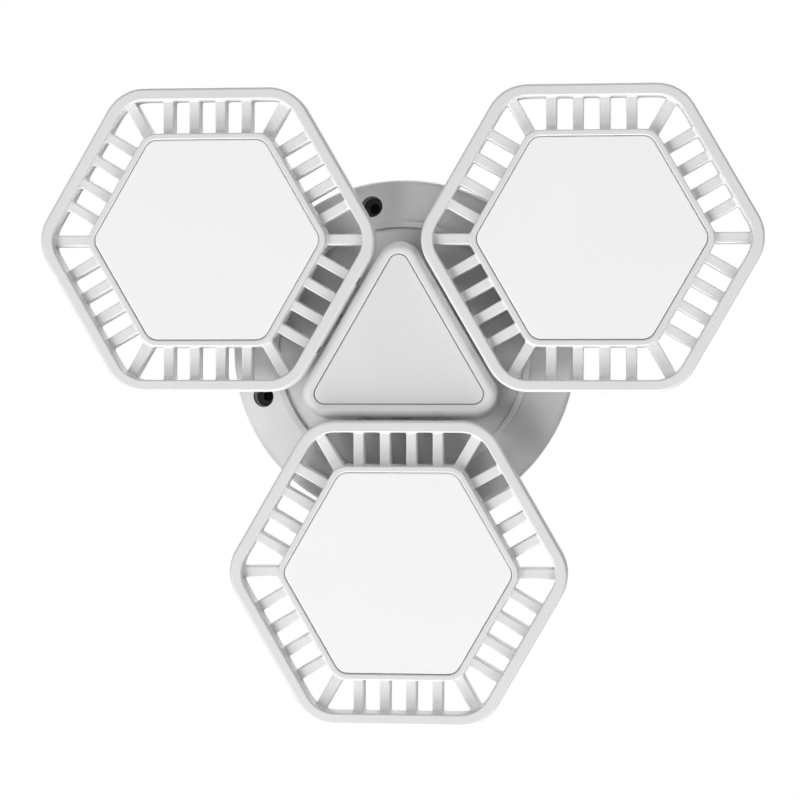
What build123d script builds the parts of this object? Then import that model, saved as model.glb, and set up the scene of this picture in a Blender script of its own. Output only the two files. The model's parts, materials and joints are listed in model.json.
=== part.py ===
from build123d import *

import os
from math import atan, cos, degrees, radians, sin, sqrt, tan

# Hard-wired lamp with three hexagonal heads round a triangular hub. A round canopy is screwed to a wall or
# ceiling. The hub stands on it and carries three heads, each on a hinge pin through the inner bar of its
# open rim, so each head folds forward by itself. Every piece is drawn lying on its back, with Z out of the
# wall, Y up and X to the right, and is then stood up: the wall is the plane Y = 0, the lamp faces -Y and Z
# is up. The origin is the middle of the canopy's back face.

# Directions of the heads, of the hub's corners and of a head's corners, in degrees from +X
HEAD_ANGLES = {"left": 150, "right": 30, "bottom": 270}
HUB_CORNER_ANGLES = (90, 210, 330)
HEAD_CORNER_ANGLES = (30, 90, 150, 210, 270, 330)

# Canopy
CANOPY_WALL = 2.4
SKIRT_CORNER_Z = 9.2
SKIRT_ROUND = 3.5
SLOPE_WIDTH = 16.4
SLOPE_RISE = 6.7
LIP_WIDTH = 2.6
LIP_STAND = 1.1
LIP_ROUND = 0.4
SHELF_WIDTH = 3.4
SHELF_THICK = 2.2
REAR_RIM_WIDTH = 4.4
REAR_RIM_DEPTH = 3.0
REAR_RIM_SLOPE = 2.0
WEB_COUNT = 12
WEB_THICK = 1.6

# Wall screws, two opposite pairs on one circle
WALL_SCREW_INSET = 9.6
WALL_SCREW_ANGLES = (102, 198, 282, 18)
WALL_SCREW_HOLE = 2.1
WELL_RADIUS = 4.1
SCREW_PAD_THICK = 2.4
SCREW_PAD_RADIUS = 5.5

# Wall seal
SEAL_WIDTH = 2.0
SEAL_DEPTH = 1.2
SEAL_EDGE = 1.2

# Rear plate and the cable inlet in it
REAR_PLATE_Z = 2.0
REAR_PLATE_THICK = 1.6
REAR_WALL_PAST_LIP = 0.5
REAR_WALL_THICK = 2.3
REAR_PLATE_CHAMFER = 0.3
PLATE_POST_RADIUS = 3.2
INLET_Y = 19.0
INLET_HOLE = 5.0
INLET_BORE = 3.25
INLET_FLANGE = 1.6
INLET_LIP = 1.3

# Hub
HUB_INRADIUS = 22.5
HUB_CORNER_RADIUS = 6.2
HUB_DROP = 4.4
HUB_SHOULDER = 2.2
HUB_DRAFT = 0.1
HUB_WALL = 2.2
HUB_EDGE_ROUND = 3.4
FLANGE_SINK = 1.6
FLANGE_THICK = 2.4
FLANGE_RISE = 5.4
FLANGE_SAG = 1.1
FLANGE_PAST_HUB = 8.4
FLANGE_TUCK = 0.5
FLANGE_FOOT_WIDTH = 4.2
HUB_SCREW_INSET = 1.3
HUB_BOSS_RADIUS = 3.6
LUG_MARGIN = 0.6

# Hub panel
PANEL_INSET = 2.4
PANEL_THICK = 2.1
PANEL_DROP = 0.3
PANEL_ROUND = 0.5
PANEL_LEDGE = 1.85
PANEL_LEDGE_THICK = 1.6
PANEL_SKIRT_WALL = 1.2
PANEL_SKIRT_PAST = 1.1
CATCH_DEPTH = 0.6
CATCH_LENGTH = 8.0
CATCH_ROOT = 0.4

# Driver board
BOARD_SCREW_GAP = 1.8
BOARD_THICK = 1.6
BOARD_STANDOFF = 5.0
BOARD_NOTCH = (12.0, 4.0)
BOARD_SCREW_PAST_HUB = 4.0
BOARD_POST_RADIUS = 2.8
CAPACITORS = ((-9.5, -11.0, 4.0, 11.5), (-14.0, -2.5, 3.15, 8.0))
CAPACITOR_ROUND = 0.5
TRANSFORMER_SPOT = (7.5, -5.0)
TRANSFORMER_BASE = (15.0, 13.0, 2.0)
TRANSFORMER_CORE = (14.0, 5.0, 10.5)
TRANSFORMER_COIL = (10.0, 11.5, 7.0)
COIL_ROUND = 2.0
CHIPS = (
    (-4.0, 6.0, 6.0, 5.0, 1.8),
    (6.5, 7.5, 4.5, 4.0, 1.5),
    (-9.5, 9.0, 3.2, 1.6, 0.8),
    (1.0, 12.0, 3.2, 1.6, 0.8),
)
TERMINAL_SPOT = (0.0, 20.0)
TERMINAL_BODY = (11.0, 8.0, 9.0)
TERMINAL_PITCH = 5.0
TERMINAL_ENTRY = 1.4
TERMINAL_SCREW = 1.7
TERMINAL_DEPTH = 2.5

# Heads
HEAD_CLEARANCE = 3.4
RIM_APOTHEM = 57.5
RIM_CORNER_RADIUS = 16.5
RIM_WIDTH = 4.5
RIM_DEPTH = 10.0
RIM_ROUND = 1.1
RIM_INNER_ROUND = 0.6
RIM_BACK_ROUND = 0.4
RIB_OFFSETS = (-15.0, -5.0, 5.0, 15.0)
RIB_SINK = 3.0
RIB_DEPTH = 6.5
RIB_FACE = 2.9
RIB_FOOT = 5.0
CORNER_RIB_FACE = 3.3
RIB_ROOT = 1.0
BEZEL_APOTHEM = 40.3
BEZEL_CORNER_RADIUS = 7.8
BEZEL_WIDTH = 2.3
BEZEL_ROUND = 0.5
BEZEL_DRAFT = 0.06
LENS_THICK = 2.4
LENS_DROP = 0.3
LENS_ROUND = 0.6
LENS_RIM = 3.4
LENS_DISH = 0.8
LENS_LEDGE = 2.5
LENS_LEDGE_THICK = 1.2
LENS_SEAL_THICK = 0.7
LENS_SEAL_WIDTH = 1.7

# Light unit in each head
COVER_THICK = 1.6
COVER_SLOPE = 0.6
COVER_CORNER_RADIUS = 5.6
FIN_COUNT = 9
FIN_PITCH = 7.2
FIN_HEIGHT = 2.0
FIN_FOOT = 2.2
FIN_TIP = 1.5
FIN_INSET = 2.4
PEDESTAL_INSET = 1.5
PEDESTAL_THICK = 0.6
LED_BOARD_INSET = 5.1
LED_BOARD_CORNER_RADIUS = 16.5
LED_BOARD_THICK = 1.6
LED_SIZE = 3.0
LED_HEIGHT = 0.8
LED_PITCH = 9.0
LED_RINGS = 3
COVER_SCREW_INSET = 5.8
COVER_BOSS_RADIUS = 3.0

# Hinges
HINGE_STANDOFF = 6.1
PIN_RADIUS = 1.0
PIN_PAST_SIDE = 4.3
PIN_DEPTH = 4.0
PIN_CHAMFER = 0.2
EAR_OFFSET = 15.0
EAR_THICK = 2.6
EAR_EYE = 1.8
EAR_STEM_BACK = 1.6
EAR_FOOT_RISE = 1.6
EAR_GUSSET = (4.2, 3.5, 5.4)

# Grommets for the leads, one at the hub and one at the head of each hinge
LEAD_HOLE = 1.6
LEAD_BORE = 1.0
LEAD_FLANGE = 0.7
LEAD_LIP = 0.7
LEAD_SEAT_RADIUS = 3.2

# Screws: shank radius, head radius, head height, length under the head
HUB_SCREW = (1.5, 2.7, 1.7, 11.0)
BOARD_SCREW = (1.1, 2.1, 1.2, 6.0)
PLATE_SCREW = (1.25, 2.3, 1.2, 6.0)
COVER_SCREW = (1.25, 2.2, 1.4, 6.0)
SLOT_WIDTH = 0.6

# Clearances
PLAY = 0.2
PANEL_GAP = 0.35
LENS_GAP = 0.35
PILOT_FIT = 0.03
SCREW_PLAY = 0.2
PILOT_SPARE = 0.8
FIN_CLEARANCE = 0.8
PIN_FIT_RIM = 0.02
PIN_FIT_EAR = 0.05
EAR_SIDE_PLAY = 0.2
EYE_PLAY = 0.3
STOP_GAP = 0.05
LEAD_GAP = 0.1
CATCH_PLAY = 0.05

# Reach of a cut that has to run right through
THROUGH = 200.0

# Sizes that follow, outwards from the hub
HUB_REACH = (HUB_INRADIUS - HUB_CORNER_RADIUS) / cos(radians(60)) + HUB_CORNER_RADIUS
HUB_SCREW_CIRCLE = HUB_REACH - HUB_SCREW_INSET
BOARD_RADIUS = HUB_SCREW_CIRCLE - HUB_SCREW[1] - BOARD_SCREW_GAP
BOARD_SCREW_CIRCLE = HUB_INRADIUS + BOARD_SCREW_PAST_HUB
FLANGE_INNER_RADIUS = HUB_INRADIUS - FLANGE_TUCK
FLANGE_RADIUS = HUB_REACH + FLANGE_PAST_HUB
LIP_INNER = FLANGE_RADIUS + PLAY
LIP_RADIUS = LIP_INNER + LIP_WIDTH
SHELF_INNER = LIP_INNER - SHELF_WIDTH
REAR_WALL_RADIUS = LIP_RADIUS + REAR_WALL_PAST_LIP
CANOPY_RADIUS = LIP_RADIUS + SLOPE_WIDTH
WALL_SCREW_CIRCLE = CANOPY_RADIUS - WALL_SCREW_INSET
PANEL_INRADIUS = HUB_INRADIUS - PANEL_INSET
PANEL_CORNER_RADIUS = HUB_CORNER_RADIUS - PANEL_INSET

# Sizes that follow, forwards from the wall
REAR_PLATE_TOP_Z = REAR_PLATE_Z + REAR_PLATE_THICK
BOARD_BACK_Z = REAR_PLATE_TOP_Z + BOARD_STANDOFF
BOARD_FRONT_Z = BOARD_BACK_Z + BOARD_THICK
CONE_TOP_Z = SKIRT_CORNER_Z + SLOPE_RISE
CONE_SLOPE = SLOPE_RISE / SLOPE_WIDTH
LIP_TOP_Z = CONE_TOP_Z + LIP_STAND
FLANGE_TOP_Z = LIP_TOP_Z - FLANGE_SINK
SHELF_TOP_Z = FLANGE_TOP_Z - FLANGE_THICK
SHELF_BACK_Z = SHELF_TOP_Z - SHELF_THICK
LEAD_SEAT_Z = FLANGE_TOP_Z + FLANGE_RISE
EAR_FOOT_Z = FLANGE_TOP_Z + EAR_FOOT_RISE
FIN_BACK_Z = LIP_TOP_Z + HEAD_CLEARANCE
COVER_BACK_Z = FIN_BACK_Z + FIN_HEIGHT
RIM_BACK_Z = COVER_BACK_Z + COVER_THICK
FRONT_Z = RIM_BACK_Z + RIM_DEPTH
HUB_TOP_Z = FRONT_Z - HUB_DROP
PANEL_TOP_Z = HUB_TOP_Z - PANEL_DROP
PANEL_SEAT_Z = PANEL_TOP_Z - PANEL_THICK
LEDGE_BACK_Z = PANEL_SEAT_Z - PANEL_LEDGE_THICK

# Sizes that follow in a head
RIM_INNER = RIM_APOTHEM - RIM_WIDTH
RIM_INNER_CORNER = RIM_CORNER_RADIUS - RIM_WIDTH
RIB_FRONT_Z = FRONT_Z - RIB_SINK
RIB_BACK_Z = RIB_FRONT_Z - RIB_DEPTH
BEZEL_SPREAD = BEZEL_DRAFT * RIM_DEPTH
BEZEL_INNER = BEZEL_APOTHEM - BEZEL_WIDTH
BEZEL_INNER_CORNER = BEZEL_CORNER_RADIUS - BEZEL_WIDTH
LENS_APOTHEM = BEZEL_INNER - LENS_GAP
LENS_CORNER_RADIUS = BEZEL_INNER_CORNER - LENS_GAP
LENS_FRONT_Z = FRONT_Z - LENS_DROP
LENS_BACK_Z = LENS_FRONT_Z - LENS_THICK
LENS_LEDGE_Z = LENS_BACK_Z - LENS_SEAL_THICK
CAVITY_TOP_Z = LENS_LEDGE_Z - LENS_LEDGE_THICK
LED_BOARD_APOTHEM = LENS_APOTHEM - LED_BOARD_INSET
LED_BOARD_Z = RIM_BACK_Z + PEDESTAL_THICK
LED_Z = LED_BOARD_Z + LED_BOARD_THICK
LEAD_ENTRY_X = -(LED_BOARD_APOTHEM + LEAD_HOLE + LEAD_FLANGE + LEAD_GAP)
PIN_HALF = (RIM_APOTHEM - RIM_CORNER_RADIUS) * tan(radians(30)) + PIN_PAST_SIDE
HINGE_X = RIM_WIDTH / 2 - RIM_APOTHEM
HINGE_Z = FRONT_Z - PIN_DEPTH
HINGE_DISTANCE = HUB_INRADIUS + HINGE_STANDOFF
HEAD_DISTANCE = HINGE_DISTANCE - HINGE_X


def rounded(sides, apothem, corner, turn):
    """A regular outline with round corners; the middle of one side faces the direction turn."""
    outline = RegularPolygon(apothem, sides, major_radius=False, rotation=turn + 180 / sides)
    return fillet(outline.vertices(), corner)


def hexagon(apothem, corner):
    """A head's outline, with one side facing the hub and its opposite facing away."""
    return rounded(6, apothem, corner, 0)


def triangle(inradius, corner):
    """The hub's outline, with its point up and its three sides facing the heads."""
    return rounded(3, inradius, corner, HEAD_ANGLES["right"])


def corner_reach(sides, apothem, corner):
    """Distance from the middle of a rounded outline to the tip of its round corner."""
    return (apothem - corner) / cos(radians(180 / sides)) + corner


def slab(outline, low, high, draft=0.0):
    """An outline raised from low to high; draft is the slope by which it narrows on its way."""
    return extrude(Pos(0, 0, low) * outline, amount=high - low, taper=degrees(atan(draft)))


def tube(radius, low, high, spot=(0, 0)):
    """A round bar along Z over one spot."""
    return Pos(*spot, (low + high) / 2) * Cylinder(radius, high - low)


def block(low, high):
    """A box from its least corner to its greatest."""
    size = [b - a for a, b in zip(low, high)]
    return Pos(*[(a + b) / 2 for a, b in zip(low, high)]) * Box(*size)


def spun(points):
    """A profile of radius and height turned about the Z axis."""
    return revolve(Plane.XZ * make_face(Polyline(*points, close=True)), Axis.Z)


def upright(outline, thick, offset):
    """An outline in X and Z given a thickness along Y about an offset."""
    return Pos(0, offset, 0) * extrude(Plane.XZ * outline, amount=thick / 2, both=True)


def joined(shapes):
    """All the shapes as one."""
    first, *rest = shapes
    return first + rest


def about(angle, shape, distance=0.0):
    """A shape moved out along X by a distance and turned about the Z axis."""
    return Rot(0, 0, angle) * Pos(distance, 0, 0) * shape


def spots(circle, angles):
    """Points on a circle round the origin, at these angles."""
    return [(circle * cos(radians(a)), circle * sin(radians(a))) for a in angles]


def screw(sizes, seat_z, spot):
    """A cross-slot screw with its head behind the seat and its shank in front of it."""
    shank, head, height, length = sizes
    rod = tube(shank, seat_z, seat_z + length, spot)
    rod = chamfer(rod.edges().group_by(Axis.Z)[-1], shank / 4)
    cap = tube(head, seat_z - height, seat_z, spot)
    cap = fillet(cap.edges().group_by(Axis.Z)[0], height * 0.4)
    bar = Box(head * 1.1, SLOT_WIDTH, height)
    cross = Pos(*spot, seat_z - height) * (bar + Rot(0, 0, 90) * bar)
    return rod + cap - cross


def screws(sizes, seat_z, where):
    return [screw(sizes, seat_z, spot) for spot in where]


def shanks(sizes, play, low, high, where):
    """Holes for the shanks of a set of screws."""
    return [tube(sizes[0] + play, low, high, spot) for spot in where]


def grommet(hole, bore, flange, lip, low, high):
    """Rubber ring of a neck through a wall from low to high and a lip on each side of it."""
    ring = spun([
        (bore, low - lip), (hole + flange, low - lip), (hole + flange, low), (hole, low),
        (hole, high), (hole + flange, high), (hole + flange, high + lip), (bore, high + lip),
    ])
    ends = ring.edges().filter_by(GeomType.CIRCLE).group_by(Axis.Z)
    outer = [ends[0].sort_by(SortBy.RADIUS)[-1], ends[-1].sort_by(SortBy.RADIUS)[-1]]
    return fillet(outer, lip * 0.5)


COVER_SCREW_CIRCLE = corner_reach(6, BEZEL_APOTHEM, BEZEL_CORNER_RADIUS) - COVER_SCREW_INSET
WALL_SCREW_SPOTS = spots(WALL_SCREW_CIRCLE, WALL_SCREW_ANGLES)
PLATE_SCREW_SPOTS = spots(SHELF_INNER, HEAD_ANGLES.values())
HUB_SCREW_SPOTS = spots(HUB_SCREW_CIRCLE, HUB_CORNER_ANGLES)
BOARD_SCREW_SPOTS = spots(BOARD_SCREW_CIRCLE, HEAD_ANGLES.values())
COVER_SCREW_SPOTS = spots(COVER_SCREW_CIRCLE, HEAD_CORNER_ANGLES)


# Base

def cone_z(radius):
    """Height of the canopy's sloping outside at a radius."""
    return SKIRT_CORNER_Z + (CANOPY_RADIUS - radius) * CONE_SLOPE


def canopy_block():
    """Everything under the canopy's visible outside, as one solid."""
    corner = (CANOPY_RADIUS, SKIRT_CORNER_Z)
    outline = [(0, 0), (CANOPY_RADIUS, 0), corner, (LIP_RADIUS, CONE_TOP_Z), (0, CONE_TOP_Z)]
    profile = make_face(Polyline(*outline, close=True))
    profile = fillet(profile.vertices().sort_by_distance(corner)[0], SKIRT_ROUND)
    return revolve(Plane.XZ * profile, Axis.Z)


def seal_ring():
    outer = CANOPY_RADIUS - SEAL_EDGE
    return tube(outer, 0, SEAL_DEPTH) - tube(outer - SEAL_WIDTH, 0, THROUGH)


def screw_pad():
    """Tongue of the rear rim that a wall screw clamps, drawn on the X axis."""
    half = SCREW_PAD_RADIUS
    arm = block((WALL_SCREW_CIRCLE, -half, 0), (CANOPY_RADIUS, half, SCREW_PAD_THICK))
    return arm + tube(half, 0, SCREW_PAD_THICK, (WALL_SCREW_CIRCLE, 0))


def canopy_lug():
    """Ear of the shelf that takes one hub screw, drawn on the X axis."""
    width = 2 * (HUB_BOSS_RADIUS + LUG_MARGIN)
    arm = block((HUB_SCREW_CIRCLE, -width / 2, SHELF_BACK_Z), (LIP_INNER, width / 2, SHELF_TOP_Z))
    return arm + tube(width / 2, SHELF_BACK_Z, SHELF_TOP_Z, (HUB_SCREW_CIRCLE, 0))


def base_canopy():
    """Dished moulding with a skirt, a lip round the hub's flange, wells over screw pads, and webs inside."""
    drop = CANOPY_WALL * sqrt(1 + CONE_SLOPE**2)
    inner = CANOPY_RADIUS - CANOPY_WALL
    rear = CANOPY_RADIUS - REAR_RIM_WIDTH
    solid = canopy_block()
    hollow = spun([
        (0, -1), (rear, -1), (rear, REAR_RIM_DEPTH), (inner, REAR_RIM_DEPTH + REAR_RIM_SLOPE),
        (inner, cone_z(inner) - drop), (REAR_WALL_RADIUS, cone_z(REAR_WALL_RADIUS) - drop),
        (REAR_WALL_RADIUS, SHELF_BACK_Z), (SHELF_INNER, SHELF_BACK_Z), (SHELF_INNER, THROUGH), (0, THROUGH),
    ])
    lip = tube(LIP_RADIUS, SHELF_TOP_Z, LIP_TOP_Z) - tube(LIP_INNER, 0, THROUGH)
    lip = fillet(lip.edges().group_by(Axis.Z)[-1], LIP_ROUND)
    shell = solid - hollow - tube(LIP_INNER, SHELF_TOP_Z, THROUGH) + lip

    inside = solid & tube(inner + CANOPY_WALL / 2, 0, THROUGH)
    web_inner = REAR_WALL_RADIUS - REAR_WALL_THICK / 2
    web = block((web_inner, -WEB_THICK / 2, REAR_PLATE_TOP_Z), (CANOPY_RADIUS, WEB_THICK / 2, THROUGH))
    webs = joined(about(i * 360 / WEB_COUNT, web) for i in range(WEB_COUNT))
    pads = joined(about(angle, screw_pad()) for angle in WALL_SCREW_ANGLES)
    wall = tube(REAR_WALL_RADIUS, REAR_PLATE_TOP_Z, SHELF_TOP_Z)
    wall -= tube(REAR_WALL_RADIUS - REAR_WALL_THICK, 0, THROUGH)
    posts = [tube(PLATE_POST_RADIUS, REAR_PLATE_TOP_Z, SHELF_TOP_Z, spot) for spot in PLATE_SCREW_SPOTS]
    lugs = [about(angle, canopy_lug()) for angle in HUB_CORNER_ANGLES]
    body = joined([shell, (webs + pads) & inside, wall, *posts, *lugs])

    pilot_end = REAR_PLATE_Z + PLATE_SCREW[3] + PILOT_SPARE
    body -= [
        *[tube(WALL_SCREW_HOLE, -1, THROUGH, spot) for spot in WALL_SCREW_SPOTS],
        *[tube(WELL_RADIUS, SCREW_PAD_THICK, THROUGH, spot) for spot in WALL_SCREW_SPOTS],
        *shanks(HUB_SCREW, SCREW_PLAY, 0, THROUGH, HUB_SCREW_SPOTS),
        *shanks(PLATE_SCREW, PILOT_FIT, 0, pilot_end, PLATE_SCREW_SPOTS),
    ]
    return body - seal_ring()


def rear_plate():
    """Steel disc that closes the wiring space, with a round inlet."""
    plate = tube(REAR_WALL_RADIUS, REAR_PLATE_Z, REAR_PLATE_TOP_Z)
    plate = chamfer(plate.edges().group_by(Axis.Z)[0], REAR_PLATE_CHAMFER)
    plate -= tube(INLET_HOLE, 0, THROUGH, (0, INLET_Y))
    return plate - shanks(PLATE_SCREW, SCREW_PLAY, 0, THROUGH, PLATE_SCREW_SPOTS)


def inlet_grommet():
    ring = grommet(INLET_HOLE, INLET_BORE, INLET_FLANGE, INLET_LIP, REAR_PLATE_Z, REAR_PLATE_TOP_Z)
    return Pos(0, INLET_Y, 0) * ring


# Hub

def tower(inradius, corner, low, high):
    """A triangular prism with the hub's draft, given by the outline it has at the hub's top."""
    grow = HUB_DRAFT * (HUB_TOP_Z - low)
    return slab(triangle(inradius + grow, corner + grow), low, high, HUB_DRAFT)


def flange():
    """Round floor of the hub, hollow from its flat edge up to the tower."""
    rim, top = (FLANGE_RADIUS, FLANGE_TOP_Z), (FLANGE_INNER_RADIUS, FLANGE_TOP_Z + FLANGE_RISE)
    middle = ((rim[0] + top[0]) / 2, (rim[1] + top[1]) / 2 - FLANGE_SAG)
    rim_low, middle_low, top_low = [(r, z - FLANGE_THICK) for r, z in (rim, middle, top)]
    outline = ThreePointArc(rim, middle, top) + Line(top, top_low)
    outline += [ThreePointArc(top_low, middle_low, rim_low), Line(rim_low, rim)]
    foot = FLANGE_RADIUS - FLANGE_FOOT_WIDTH
    ring = tube(FLANGE_RADIUS, SHELF_TOP_Z, FLANGE_TOP_Z) - tube(foot, 0, THROUGH)
    return revolve(Plane.XZ * make_face(outline), Axis.Z) + ring


def hinge_ear(offset):
    """One ear of a hinge on the hub, for a head in the direction of +X."""
    deep, low, high = EAR_GUSSET
    back, front = HINGE_DISTANCE - EAR_STEM_BACK, HINGE_DISTANCE + EAR_EYE
    stem = make_face(Polyline(
        (back - deep, EAR_FOOT_Z), (front, EAR_FOOT_Z), (front, HINGE_Z), (back, HINGE_Z),
        (back, EAR_FOOT_Z + high), (back - deep, EAR_FOOT_Z + low), close=True,
    ))
    eye = Pos(HINGE_DISTANCE, HINGE_Z) * Circle(EAR_EYE)
    hole = Pos(HINGE_DISTANCE, HINGE_Z) * Circle(PIN_RADIUS + PIN_FIT_EAR)
    return upright(stem + eye - hole, EAR_THICK, offset)


def hub_body():
    """Triangular tower on a round dished floor, with a seat for its panel and ears for three hinges."""
    wide, corner = HUB_INRADIUS + HUB_SHOULDER, HUB_CORNER_RADIUS + HUB_SHOULDER
    outer = tower(wide, corner, SHELF_TOP_Z, HUB_TOP_Z)
    outer = fillet(outer.edges().group_by(Axis.Z)[-1], HUB_EDGE_ROUND)
    hollow = tower(wide - HUB_WALL, corner - HUB_WALL, SHELF_TOP_Z - 1, LEDGE_BACK_Z)
    recess = triangle(PANEL_INRADIUS + PANEL_GAP, PANEL_CORNER_RADIUS + PANEL_GAP)
    recess = slab(recess, PANEL_SEAT_Z, THROUGH)
    window = slab(triangle(PANEL_INRADIUS - PANEL_LEDGE, PANEL_CORNER_RADIUS - PANEL_LEDGE), 0, THROUGH)
    bosses = joined(tube(HUB_BOSS_RADIUS, SHELF_TOP_Z, LEDGE_BACK_Z, spot) for spot in HUB_SCREW_SPOTS)
    post_top = FLANGE_TOP_Z + FLANGE_THICK
    posts = [tube(BOARD_POST_RADIUS, BOARD_FRONT_Z, post_top, spot) for spot in BOARD_SCREW_SPOTS]
    seat = tube(LEAD_SEAT_RADIUS, LEAD_SEAT_Z - FLANGE_THICK, LEAD_SEAT_Z, (HINGE_DISTANCE, 0))
    ears = [about(a, hinge_ear(s * EAR_OFFSET)) for a in HEAD_ANGLES.values() for s in (-1, 1)]
    passage = tube(LEAD_HOLE, 0, THROUGH, (HINGE_DISTANCE, 0))
    passage += tube(LEAD_HOLE + LEAD_FLANGE + PLAY, 0, LEAD_SEAT_Z - FLANGE_THICK, (HINGE_DISTANCE, 0))
    shell = (outer + flange() + [about(a, seat) for a in HEAD_ANGLES.values()] + ears) - hollow
    body = joined([shell, bosses & outer, *posts]) - recess - window
    return body - [
        *shanks(HUB_SCREW, PILOT_FIT, 0, SHELF_BACK_Z + HUB_SCREW[3] + PILOT_SPARE, HUB_SCREW_SPOTS),
        *shanks(BOARD_SCREW, PILOT_FIT, 0, BOARD_BACK_Z + BOARD_SCREW[3] + PILOT_SPARE, BOARD_SCREW_SPOTS),
        *[about(a, passage) for a in HEAD_ANGLES.values()],
    ]


def hub_panel():
    """Triangular front panel with a thin skirt behind it, and a catch on each side under the ledge."""
    reach, corner = PANEL_INRADIUS - PANEL_LEDGE - PLAY, PANEL_CORNER_RADIUS - PANEL_LEDGE
    low = LEDGE_BACK_Z - PANEL_SKIRT_PAST
    plate = slab(triangle(PANEL_INRADIUS, PANEL_CORNER_RADIUS), PANEL_SEAT_Z, PANEL_TOP_Z)
    plate = fillet(plate.edges().group_by(Axis.Z)[-1], PANEL_ROUND)
    ring = triangle(reach, corner) - triangle(reach - PANEL_SKIRT_WALL, corner - PANEL_SKIRT_WALL)
    half = CATCH_LENGTH / 2
    catch = block((reach - CATCH_ROOT, -half, low), (reach + CATCH_DEPTH, half, LEDGE_BACK_Z - CATCH_PLAY))
    return joined([plate, slab(ring, low, PANEL_SEAT_Z), *[about(a, catch) for a in HEAD_ANGLES.values()]])


# Driver board and what is soldered to it

def driver_board():
    board = tube(BOARD_RADIUS, BOARD_BACK_Z, BOARD_FRONT_Z)
    wide, deep = BOARD_NOTCH
    board -= block((-wide / 2, BOARD_RADIUS - deep, 0), (wide / 2, BOARD_RADIUS + deep, THROUGH))
    return board - shanks(BOARD_SCREW, SCREW_PLAY, 0, THROUGH, BOARD_SCREW_SPOTS)


def standing(size, x, y):
    """A box of this size standing on the driver board."""
    return Pos(x, y, BOARD_FRONT_Z + size[2] / 2) * Box(*size)


def driver_capacitors():
    cans = []
    for x, y, radius, tall in CAPACITORS:
        can = tube(radius, BOARD_FRONT_Z, BOARD_FRONT_Z + tall, (x, y))
        cans.append(fillet(can.edges().group_by(Axis.Z)[-1], CAPACITOR_ROUND))
    return cans


def driver_transformer():
    """A bobbin base, a ferrite core and the coil that goes through it."""
    sizes = TRANSFORMER_BASE, TRANSFORMER_CORE, TRANSFORMER_COIL
    base, core, coil = [standing(size, *TRANSFORMER_SPOT) for size in sizes]
    coil = fillet(coil.edges().filter_by(Axis.Z), COIL_ROUND)
    return base + core + coil


def driver_chips():
    return [standing((long, wide, tall), x, y) for x, y, long, wide, tall in CHIPS]


def terminal_block():
    """Two-way terminal block with wire entries in one side and screw wells in its front."""
    body = standing(TERMINAL_BODY, *TERMINAL_SPOT)
    x, y = TERMINAL_SPOT
    top, side = BOARD_FRONT_Z + TERMINAL_BODY[2], y + TERMINAL_BODY[1] / 2
    body = chamfer(body.edges().group_by(Axis.Z)[-1].filter_by(Axis.X), 1.0)
    for way in (-1, 1):
        column = x + way * TERMINAL_PITCH / 2
        body -= tube(TERMINAL_SCREW, top - TERMINAL_DEPTH, top + 1, (column, y))
        entry = Pos(column, side, BOARD_FRONT_Z + TERMINAL_BODY[2] / 3) * Rot(90, 0, 0)
        body -= entry * Cylinder(TERMINAL_ENTRY, 2 * TERMINAL_DEPTH)
    return body


# One head, drawn round the origin with the hub on its -X side

def rib(face, near, far):
    """A bar along X from near to far, narrow at its front and wide at its back."""
    foot = RIB_FOOT / 2
    outline = [(-foot, RIB_BACK_Z), (foot, RIB_BACK_Z), (face / 2, RIB_FRONT_Z), (-face / 2, RIB_FRONT_Z)]
    section = Plane.YZ * make_face(Polyline(*outline, close=True))
    return Pos(near, 0, 0) * extrude(section, amount=far - near)


def ribs():
    near, far = BEZEL_APOTHEM - RIB_ROOT, RIM_INNER + RIB_ROOT
    side = [Pos(0, offset, 0) * rib(RIB_FACE, near, far) for offset in RIB_OFFSETS]
    near = corner_reach(6, BEZEL_APOTHEM, BEZEL_CORNER_RADIUS) - RIB_ROOT
    far = corner_reach(6, RIM_INNER, RIM_INNER_CORNER) + RIB_ROOT
    side.append(about(HEAD_CORNER_ANGLES[0], rib(CORNER_RIB_FACE, near, far)))
    return [about(turn, bar) for turn in range(0, 360, 60) for bar in side]


def hinge_bar(radius, low, high):
    """A round bar on the hinge's axis between two offsets along it."""
    return Pos(HINGE_X, (low + high) / 2, HINGE_Z) * Rot(90, 0, 0) * Cylinder(radius, high - low)


def ear_pocket(offset):
    """Room in the rim for one ear, open backwards and towards the hub, with a stop on its other side."""
    clear = EAR_EYE + EYE_PLAY
    eye = Pos(HINGE_X, HINGE_Z) * Circle(clear)
    swing = make_face(Polyline(
        (-THROUGH, 0), (HINGE_X, 0), (HINGE_X, HINGE_Z + clear), (-THROUGH, HINGE_Z + clear), close=True,
    ))
    stop = HINGE_X + EAR_EYE + STOP_GAP
    rest = make_face(Polyline((HINGE_X, 0), (stop, 0), (stop, HINGE_Z), (HINGE_X, HINGE_Z), close=True))
    return upright(eye + swing + rest, EAR_THICK + 2 * EAR_SIDE_PLAY, offset)


def rim_band():
    """The head's open rim: a band between two rounded hexagons with softened edges."""
    band = slab(hexagon(RIM_APOTHEM, RIM_CORNER_RADIUS), RIM_BACK_Z, FRONT_Z)
    band = fillet(band.edges().group_by(Axis.Z)[-1], RIM_ROUND)
    band = fillet(band.edges().group_by(Axis.Z)[0], RIM_BACK_ROUND)
    hole = slab(hexagon(RIM_INNER, RIM_INNER_CORNER), RIM_BACK_Z - 1, FRONT_Z)
    flare = slab(hexagon(RIM_INNER, RIM_INNER_CORNER), FRONT_Z - RIM_INNER_ROUND, FRONT_Z + 1, -1.0)
    return band - hole - flare


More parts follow.
